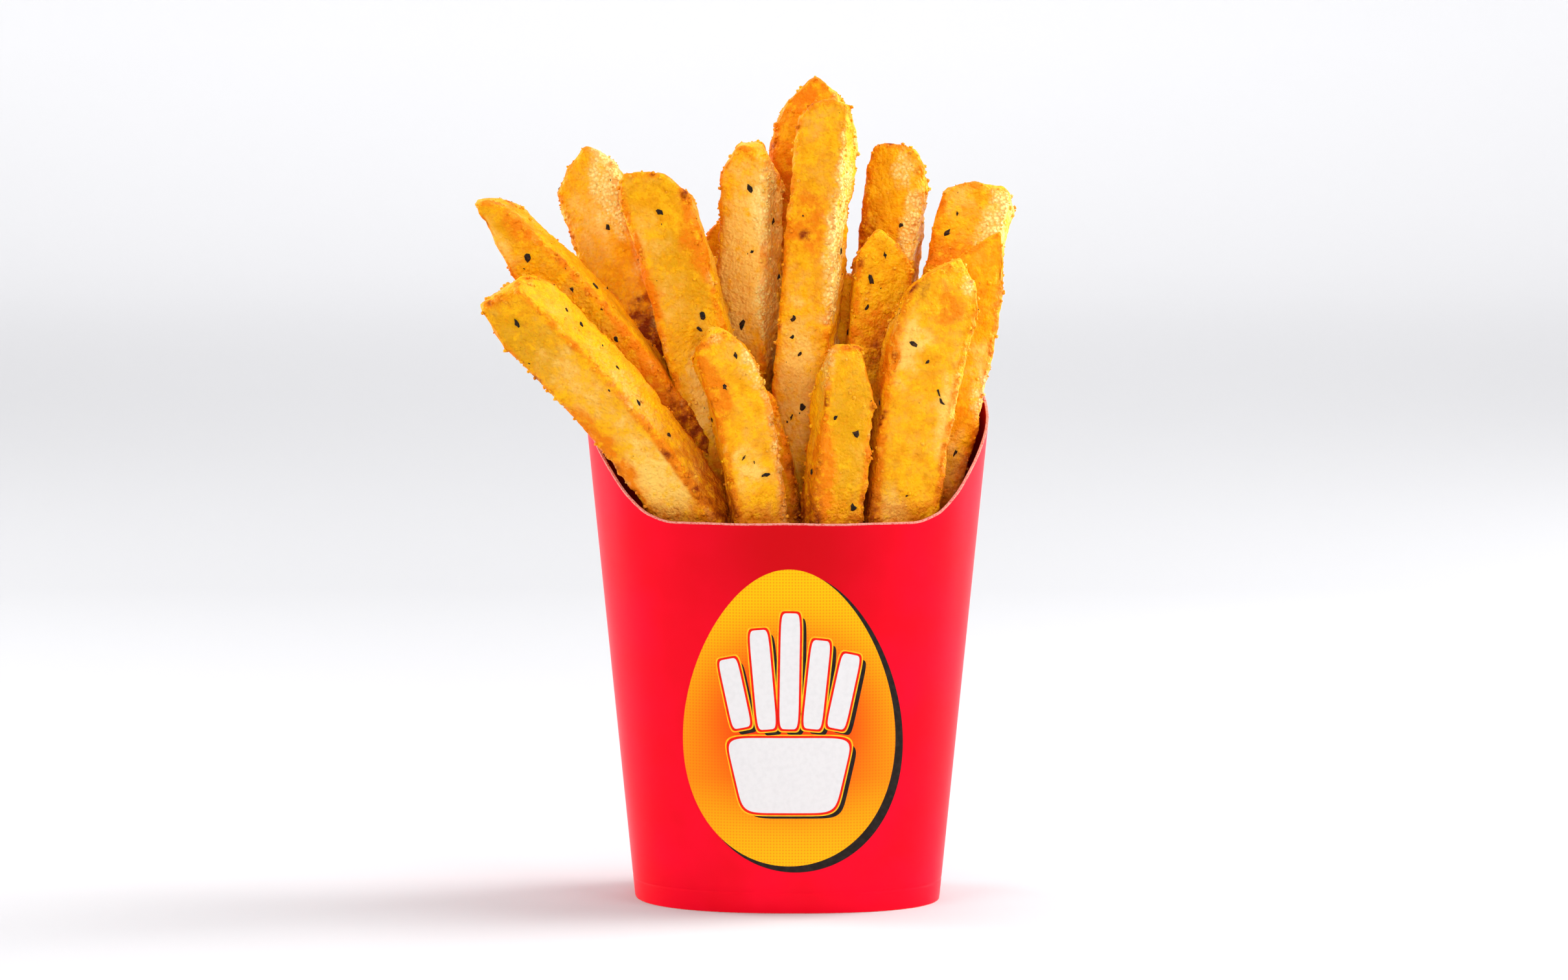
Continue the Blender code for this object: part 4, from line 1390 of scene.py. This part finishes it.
        # painted shade where the fries shade each other and the scoop: deep behind the front row,
        # low on the sides, above the rim
        deep = eased(*self.shade_behind_height, at[..., 2]) * eased(*self.shade_behind_place, at[..., 1])
        by_side = eased(*self.side_reach, np.abs(self.across))
        low_side_shade = eased(*self.low_shade_height, at[..., 2]) * by_side
        rim_shade = eased(*self.rim_height, at[..., 2])
        shares = {
            CREAM: face * (fry.pale * (0.8 + 0.9 * cloud) + 0.35 * break_up),
            OLIVE: face * fry.olive * (0.75 + 0.6 * drift),
            AMBER: 0.75 * self.edge * (0.8 + 1.2 * break_up) + fry.orange * (0.5 + 0.5 * drift)
            + 0.5 * deep + 0.6 * low_side_shade + 0.6 * rim_shade,
            BROWN: 0.9 * self.edge * eased(0.1, 0.6, break_up) + 0.8 * deep
            + 0.4 * low_side_shade + 0.3 * rim_shade,
            # gloss and painted highlight, mostly on the right faces of knobbly fries, where the
            # light falls
            GLASSY: 0.7 * fry.knobbly * right * eased(-0.35, 0.35, drift + 0.4 * break_up)
            + 0.35 * self.edge * eased(0.1, 0.5, -break_up),
        }
        for patch in fry.patches:
            centre, _, way = self.on_face(patch.face, patch.along, patch.across)
            offset = at - centre
            run = (offset * way).sum(axis=-1)
            reach = np.sqrt(np.maximum((offset ** 2).sum(axis=-1) - run ** 2, 0)
                            + (run / patch.stretch) ** 2)
            soft = 1.25 - reach / patch.radius + 0.45 * break_up
            shares[patch.tint] = shares[patch.tint] + patch.strength * eased(0.0, 1.0, soft)
        shares[BROWN] = shares[BROWN] * (1 - 0.8 * np.clip(shares[GLASSY], 0, 1))
        self.tints = {tint.value: np.clip(share, 0, 1) for tint, share in shares.items()}

    def on_face(self, face: Face, along: float, across: float) -> tuple:
        """The grid's point nearest a place on a face.

        Args:
            face: which long face.
            along: share of the fry's length.
            across: share across that face, from -1 to 1.

        Returns:
            The point, its outward direction and the fry's direction there.
        """
        side, forward = {FRONT: (across, 1.0), BACK: (across, -1.0),
                         RIGHT: (1.0, across), LEFT: (-1.0, across)}[face]
        ideal = self.fry.place(*(np.array(v) for v in (along, side, forward)))
        nearest = ((self.grid - ideal) ** 2).sum(axis=-1).argmin()
        spot = np.unravel_index(nearest, self.grid.shape[:2])
        return self.grid[spot], self.normals[spot], self.ways[spot]

    def dusted(self) -> np.ndarray:
        """Which of its points, in one row, stand high enough for crumbs and specks."""
        return (self.grid[..., 2] > DUSTED_ABOVE).ravel()

    def picked(self, chosen: np.ndarray) -> tuple[np.ndarray, ...]:
        """Points, outward directions and the fry's directions at some of its points."""
        return tuple(part.reshape(-1, 3)[chosen] for part in (self.grid, self.normals, self.ways))

    def skin(self) -> Skin:
        """The closed skin with its tints."""
        first = self.grid[0].mean(axis=0)
        last = self.grid[-1].mean(axis=0)
        skin = closed_tube(self.grid, first, last)
        for key, share in self.tints.items():
            skin.values[key] = np.concatenate([share.ravel(), [share[0, 0], share[-1, 0]]])
        return skin


@dataclass(frozen=True)
class Crumbs:
    """Loose grains of fried batter stuck along the edges and ends of the fries."""

    seed: int = 31
    per_mm: float = 4.6
    smallest: float = 0.10
    largest: float = 0.46
    on_faces: float = 0.04
    on_glassy: float = 0.5
    uneven: Pair = (0.65, 1.25)
    raised: float = 0.3
    paler: float = 0.2

    def skin(self, sticks: Sequence[FriedStick]) -> Skin:
        """Grains as small uneven icosahedra, set on points drawn mostly from edges.

        Args:
            sticks: the fries that they sit on.

        Returns:
            One skin of all the grains.
        """
        draws = np.random.default_rng(self.seed)
        spots, outs, tints = [], [], {tint.value: [] for tint in Tint}
        for stick in sticks:
            rough = stick.edge ** 2 + self.on_glassy * stick.tints[GLASSY.value]
            weight = stick.dusted() * (self.on_faces + rough).ravel()
            count = round(self.per_mm * stick.fry.length())
            chosen = draws.choice(len(weight), size=count, p=weight / weight.sum())
            spot, out, _ = stick.picked(chosen)
            spots.append(spot)
            outs.append(out)
            for key, share in stick.tints.items():
                tints[key].append(share.ravel()[chosen])
        spots, outs = np.concatenate(spots), np.concatenate(outs)
        size = self.smallest + (self.largest - self.smallest) * draws.random(len(spots)) ** 2.2
        corners, faces = self._icosahedron()
        uneven = draws.uniform(*self.uneven, size=(len(spots), len(corners), 1))
        middles = spots + outs * size[:, None] * self.raised
        grains = corners * uneven * size[:, None, None] + middles[:, None]
        starts = np.arange(len(spots)) * len(corners)
        triangles = (faces + starts[:, None, None]).reshape(-1, 3)
        skin = Skin(grains.reshape(-1, 3), np.zeros((0, 4), int), triangles)
        for key, share in tints.items():
            skin.values[key] = np.repeat(np.concatenate(share) * (1 - self.paler), len(corners))
        skin.values[CREAM.value] += self.paler
        return skin.facing_out()

    @staticmethod
    def _icosahedron() -> tuple[np.ndarray, np.ndarray]:
        """Twelve corners of three golden rectangles, and the twenty faces between them."""
        g = (1 + math.sqrt(5)) / 2
        flat = np.array([(0, a, b * g) for a in (-1, 1) for b in (-1, 1)], float)
        corners = unit(np.concatenate([np.roll(flat, k, axis=1) for k in range(3)]))
        reach = np.linalg.norm(corners[:, None] - corners[None], axis=-1)
        near = (reach > 0.1) & (reach < 1.1)
        faces = [(a, b, c) for a in range(12) for b in range(a + 1, 12) for c in range(b + 1, 12)
                 if near[a, b] and near[b, c] and near[a, c]]
        turned = [f if np.dot(np.cross(corners[f[1]] - corners[f[0]], corners[f[2]] - corners[f[0]]),
                              corners[list(f)].sum(axis=0)) > 0 else f[::-1] for f in faces]
        return corners, np.array(turned)


# Flakes by fry and face: share of its length, share across the face and radius
MARKED_PEPPER = {
    ("left_blunt", FRONT): ((0.92, 0.06, 1.05), (0.68, 0.20, 0.7)),
    ("left_long", FRONT): ((0.85, 0.28, 0.95), (0.62, 0.50, 0.6)),
    ("left_low", FRONT): ((0.92, 0.06, 1.05),),
    ("left_low", RIGHT): ((0.86, -0.10, 0.6), (0.81, -0.20, 0.6), (0.69, 0.10, 0.6),
        (0.60, 0.50, 0.85)),
    ("left_tall", FRONT): ((0.82, 0.30, 0.6), (0.58, 0.22, 0.55)),
    ("middle_left", FRONT): ((0.91, 0.30, 0.8), (0.79, 0.50, 0.55), (0.65, 0.14, 1.0)),
    ("middle_left", RIGHT): ((0.85, 0.30, 0.8),),
    ("tallest", FRONT): ((0.62, -0.38, 0.65), (0.59, -0.34, 0.6), (0.47, 0.18, 0.75),
        (0.45, -0.22, 0.7)),
    ("short_pointed", FRONT): ((0.90, 0.30, 0.85), (0.82, -0.38, 0.6), (0.60, -0.30, 0.6),
        (0.54, 0.42, 0.9)),
    ("short_round", FRONT): ((0.65, 0.34, 0.95), (0.70, -0.45, 0.55), (0.42, 0.46, 0.85)),
    ("right_tall", FRONT): ((0.77, 0.42, 0.6),),
    ("right_pointed", FRONT): ((0.90, -0.06, 0.7), (0.81, -0.50, 1.0), (0.72, -0.50, 0.8)),
    ("right_broad", FRONT): ((0.77, -0.50, 0.9), (0.64, 0.56, 0.9), (0.66, 0.42, 0.7),
        (0.73, -0.02, 0.5)),
    ("right_broad", LEFT): ((0.48, 0.30, 0.9), (0.61, 0.50, 0.7)),
    ("right_outer", FRONT): ((0.44, 0.50, 0.7),),
    ("right_far", FRONT): ((0.83, -0.50, 0.95), (0.89, -0.40, 0.6)),
}


@dataclass(frozen=True)
class Pepper:
    """Cracked pepper on the crust: the flakes of the plain heap, and finer specks."""

    seed: int = 7
    on_largest: int = 4
    faces: tuple[Face, ...] = (BACK, LEFT, RIGHT, FRONT)
    radius: Pair = (0.5, 0.85)
    along: Pair = (0.5, 0.9)
    across: float = 0.55
    speck_seed: int = 77
    specks_on_largest: int = 30
    speck_radius: Pair = (0.08, 0.34)
    spokes: int = 8
    uneven: Pair = (0.45, 1.25)
    narrow: Pair = (0.35, 0.85)
    thickest: float = 0.35
    levels: tuple = ((0.55, -0.7), (1.0, 0.15), (0.62, 0.6))

    def scattered(self) -> list[tuple[str, Face, float, float, float]]:
        """Draw the flakes that no view marks, in the same order as the plain heap."""
        draws = np.random.default_rng(self.seed)
        largest = max(fry.area() for fry in FRIES)
        made = []
        for fry in FRIES:
            for number in range(round(self.on_largest * fry.area() / largest)):
                along = draws.uniform(*self.along)
                across = draws.uniform(-self.across, self.across)
                made.append((fry.name, self.faces[number % len(self.faces)], along, across,
                             draws.uniform(*self.radius)))
        return made

    def places(self, sticks: Sequence[FriedStick]) -> tuple[np.ndarray, ...]:
        """Places, outward and sideways directions and radii of every flake and speck."""
        by_name = {stick.fry.name: stick for stick in sticks}
        marked = [(*where, *flake) for where, flakes in MARKED_PEPPER.items() for flake in flakes]
        found = [(*by_name[name].on_face(face, along, across), radius)
                 for name, face, along, across, radius in (*marked, *self.scattered())]
        spots, outs, ways, radii = (np.array(part, float) for part in zip(*found))
        draws = np.random.default_rng(self.speck_seed)
        largest = max(stick.fry.area() for stick in sticks)
        parts = [(spots, outs, ways, radii)]
        for stick in sticks:
            count = round(self.specks_on_largest * (stick.fry.area() / largest))
            chosen = draws.choice(np.flatnonzero(stick.dusted()), size=count)
            low, high = self.speck_radius
            size = low + (high - low) * draws.random(count) ** 2
            parts.append((*stick.picked(chosen), size))
        return tuple(np.concatenate(part) for part in zip(*parts))

    def skin(self, sticks: Sequence[FriedStick]) -> Skin:
        """Each flake as three uneven eight-cornered rings, half sunk in the crust.

        Each ring has a share of the flake's outline and of its thickness.

        Args:
            sticks: the fries that they lie on.

        Returns:
            One skin of all the flakes.
        """
        spots, outs, ways, radii = self.places(sticks)
        draws = np.random.default_rng(self.speck_seed + 1)
        sides = unit(ways + 0.6 * draws.normal(size=ways.shape))
        sides = unit(sides - outs * (sides * outs).sum(axis=1, keepdims=True))
        ups = np.cross(outs, sides)
        turn = np.arange(self.spokes) * 2 * math.pi / self.spokes
        uneven = draws.uniform(*self.uneven, size=(len(radii), self.spokes))
        narrow = draws.uniform(*self.narrow, size=(len(radii), 1))
        run = uneven * np.cos(turn) * radii[:, None]
        rise = uneven * narrow * np.sin(turn) * radii[:, None]
        flat = run[..., None] * sides[:, None] + rise[..., None] * ups[:, None]
        thick = np.minimum(self.thickest, 0.5 * radii)
        rings = [spots[:, None] + flat * share + (outs * (thick * up)[:, None])[:, None]
                 for share, up in self.levels]
        skins = []
        for flake in range(len(radii)):
            grid = np.stack([ring[flake] for ring in rings])
            skins.append(closed_tube(grid, grid[0].mean(axis=0), grid[-1].mean(axis=0)))
        return joined(skins)


@dataclass(frozen=True)
class HeapCore:
    """What the fries stand in: a plug of packed crumb that fills the scoop's foot."""

    form: ScoopForm
    gap: float = 0.8
    bottom: float = 4.7
    top: float = 58.0
    crown: float = 2.4
    columns: int = 160
    seed: int = 55
    lumps: float = 1.6
    lump_mm: float = 7.0
    cloud_mm: float = 5.0

    def skin(self) -> Skin:
        """Carry the oval up to the top, then in to a lumpy crown.

        Returns:
            The skin, tinted amber and brown.
        """
        angles = np.arange(self.columns) * 360.0 / self.columns
        inset = self.form.board + self.gap
        wall = [self.form.oval(angles, np.full(self.columns, h), inset)
                for h in np.linspace(self.bottom, self.top, 24)]
        rim = wall[-1]
        middle = rim.mean(axis=0)
        shares = np.linspace(1, 0, 34)[1:-1]
        lid = [middle + (rim - middle) * s + (0, 0, self.crown * (1 - s * s)) for s in shares]
        lid = np.array(lid)
        lid[..., 2] += self.lumps * Noise(self.seed).layered(lid, self.lump_mm, 3, 0.6)
        grid = np.concatenate([np.array(wall), lid])
        skin = closed_tube(grid, (0, 0, self.bottom), middle + (0, 0, self.crown))
        clouds = Noise(self.seed + 1).layered(skin.points, self.cloud_mm, 3, 0.6)
        tints = ((CREAM, 0, 0), (OLIVE, 0.3, 0.3), (AMBER, 0.9, 0.3), (BROWN, 0.35, 0.4),
                 (GLASSY, 0, 0))
        skin.values = {tint.value: share + more * clouds for tint, share, more in tints}
        return skin


@dataclass
class Heap:
    """The fries, the core that they stand in, their crumbs and their pepper."""

    form: ScoopForm
    inner_number: int = 50
    inner_spacing: float = 0.9

    def build(self, axis: np.ndarray) -> list[Object]:
        """Make every piece of the heap and dress it.

        Args:
            axis: where the scoop's axis stands in the frame, in mm.

        Returns:
            The pieces.
        """
        crust = BatteredCrust().material()
        sticks = [FriedStick(fry, self.form, number) for number, fry in enumerate(FRIES)]
        inner = [FriedStick(fry, self.form, number, self.inner_spacing)
                 for number, fry in enumerate(inner_fries(), self.inner_number)]
        skins = {"fry_" + stick.fry.name: stick.skin() for stick in (*sticks, *inner)}
        skins["heap_core"] = HeapCore(self.form).skin()
        skins["batter_crumbs"] = Crumbs().skin(sticks)
        made = [skin.to_object(name, [crust], axis) for name, skin in skins.items()]
        pepper = CrackedPepper().material()
        made.append(Pepper().skin(sticks).to_object("pepper_flakes", [pepper], axis, 30))
        for piece in made:
            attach(piece, BODY)
            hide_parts("fries")
        return made


@dataclass(frozen=True)
class SoftBox:
    """A rectangular studio light, aimed at a point."""

    name: str
    place: Point
    aim: Point
    width: float
    height: float
    power: float
    colour: str = "FFFFFF"

    def build(self, axis: np.ndarray) -> Object:
        """Make the light at its place, turned to its aim."""
        light = bpy.data.lights.new(self.name, "AREA")
        light.shape = "RECTANGLE"
        light.size, light.size_y = self.width * MM, self.height * MM
        light.energy = self.power
        light.color = linear(self.colour)[:3]
        made = bpy.data.objects.new(self.name, light)
        made.location = Vector((np.array(self.place) + axis) * MM)
        way = Vector(np.array(self.aim, float) - self.place)
        made.rotation_euler = way.to_track_quat("-Z", "Y").to_euler()
        made.visible_camera = False
        bpy.context.scene.collection.objects.link(made)
        return made


@dataclass(frozen=True)
class Studio:
    """A pale seamless floor, soft light and the photograph's viewpoint."""

    lights: tuple[SoftBox, ...] = (
        SoftBox("left_front_softbox", (-950, -900, 700), (0, 0, 80), 700, 900, 9.0),
        SoftBox("right_front_softbox", (950, -850, 650), (0, 0, 80), 700, 900, 7.5),
        SoftBox("camera_softbox", (120, -1250, 560), (0, 0, 100), 600, 400, 4.5),
        SoftBox("left_edge_softbox", (-800, 300, 240), (0, 0, 80), 300, 440, 7.0),
        SoftBox("right_edge_softbox", (760, 230, 240), (0, 0, 80), 400, 440, 9.0),
        SoftBox("right_high_softbox", (520, 60, 900), (0, 0, 110), 400, 400, 5.0),
        SoftBox("overhead_softbox", (40, 40, 1000), (0, 0, 90), 350, 350, 3.4),
        SoftBox("background_softbox", (0, 1500, 1500), (0, 1900, 100), 3600, 800, 20.0),
    )
    ambient: float = 0.12
    ambient_colour: str = "FBFBFF"
    floor_half_width: float = 6000.0
    floor_front: float = 4000.0
    cove_start: float = 1300.0
    cove_radius: float = 900.0
    wall_height: float = 3500.0
    # painted light: the paper is darker near the scoop, where the lamps fall strongest, and paler
    # far off, where they fall weakest
    paper_near: str = "C6C6C8"
    paper_middle: str = "BEBEC0"
    paper_far: str = "FAFAFC"
    graded_from: float = -100.0
    graded_to: float = 1700.0
    distance: float = 1100.0
    elevation: float = 6.5
    aim: Point = (-0.54, 0.0, 76.0)
    image_width: int = 2420
    focal_pixels: float = 9166.7
    sensor: float = 36.0
    clip: Pair = (0.05, 100.0)

    def build(self, axis: np.ndarray) -> None:
        """Make the floor, the lights, the world and the camera."""
        self._floor()
        for light in self.lights:
            light.build(axis)
        world = bpy.data.worlds.new("studio")
        world.use_nodes = True
        ambient = world.node_tree.nodes["Background"]
        ambient.inputs["Color"].default_value = linear(self.ambient_colour)
        ambient.inputs["Strength"].default_value = self.ambient
        bpy.context.scene.world = world
        bpy.context.scene.view_settings.view_transform = "Standard"
        self._camera(axis)

    def _floor(self) -> None:
        """A floor that curves up into a wall: flat, then a quarter circle, then flat."""
        turn = np.linspace(0, math.pi / 2, 25)
        away = self.cove_start + self.cove_radius * np.sin(turn)
        up = self.cove_radius * (1 - np.cos(turn))
        away = np.concatenate([[-self.floor_front], away, away[-1:]])
        up = np.concatenate([[0], up, [self.wall_height]])
        sides = np.array([-self.floor_half_width, self.floor_half_width])
        points = [np.stack([np.full(len(up), side), away, up], axis=-1) for side in sides]
        index = np.arange(len(up) - 1)
        quads = np.stack([index, index + len(up), index + len(up) + 1, index + 1], axis=-1)
        # the paper's colour is graded from front to back as painted light, evening out how the lamps
        # fall off
        paper = Recipe("painted_light_backdrop_paper")
        behind = paper.add("SeparateXYZ", links={"Vector": paper.place}).outputs["Y"]
        graded = paper.ranged(behind, (self.graded_from * MM, self.graded_to * MM), curve="LINEAR")
        colour = paper.ramp(graded, (0.0, self.paper_near), (0.3, self.paper_middle),
                            (1.0, self.paper_far))
        material = paper.finished({"Base Color": colour},
                                  {"Roughness": 0.9, "Specular IOR Level": 0.1})
        skin = Skin(np.concatenate(points), quads, np.zeros((0, 3), int))
        skin.to_object("studio_floor", [material], np.zeros(3))

    def _camera(self, axis: np.ndarray) -> None:
        """The camera, looking along +Y from a little above."""
        tilt = math.radians(self.elevation)
        back = np.array([0.0, -math.cos(tilt), math.sin(tilt)])
        lens = bpy.data.cameras.new("camera")
        lens.sensor_width = self.sensor
        lens.lens = self.focal_pixels / self.image_width * self.sensor
        lens.clip_start, lens.clip_end = self.clip
        camera = bpy.data.objects.new("camera", lens)
        camera.location = Vector((np.array(self.aim) + axis + back * self.distance) * MM)
        camera.rotation_euler = Vector(-back).to_track_quat("-Z", "Y").to_euler()
        bpy.context.scene.collection.objects.link(camera)
        bpy.context.scene.camera = camera


def main() -> None:
    """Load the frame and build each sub-assembly round it."""
    logging.basicConfig(level=logging.INFO, format="%(message)s")
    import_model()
    form = ScoopForm()
    axis = form.axis_in_frame()
    log.info("axis of the scoop in the frame: %s mm", np.round(axis, 3))
    for maker in (Scoop(form), PrintedMark(form), Heap(form)):
        for piece in maker.build(axis):
            log.info("%s: %d faces", piece.name, len(piece.data.polygons))
    Studio().build(axis)


if __name__ == "__main__":
    main()
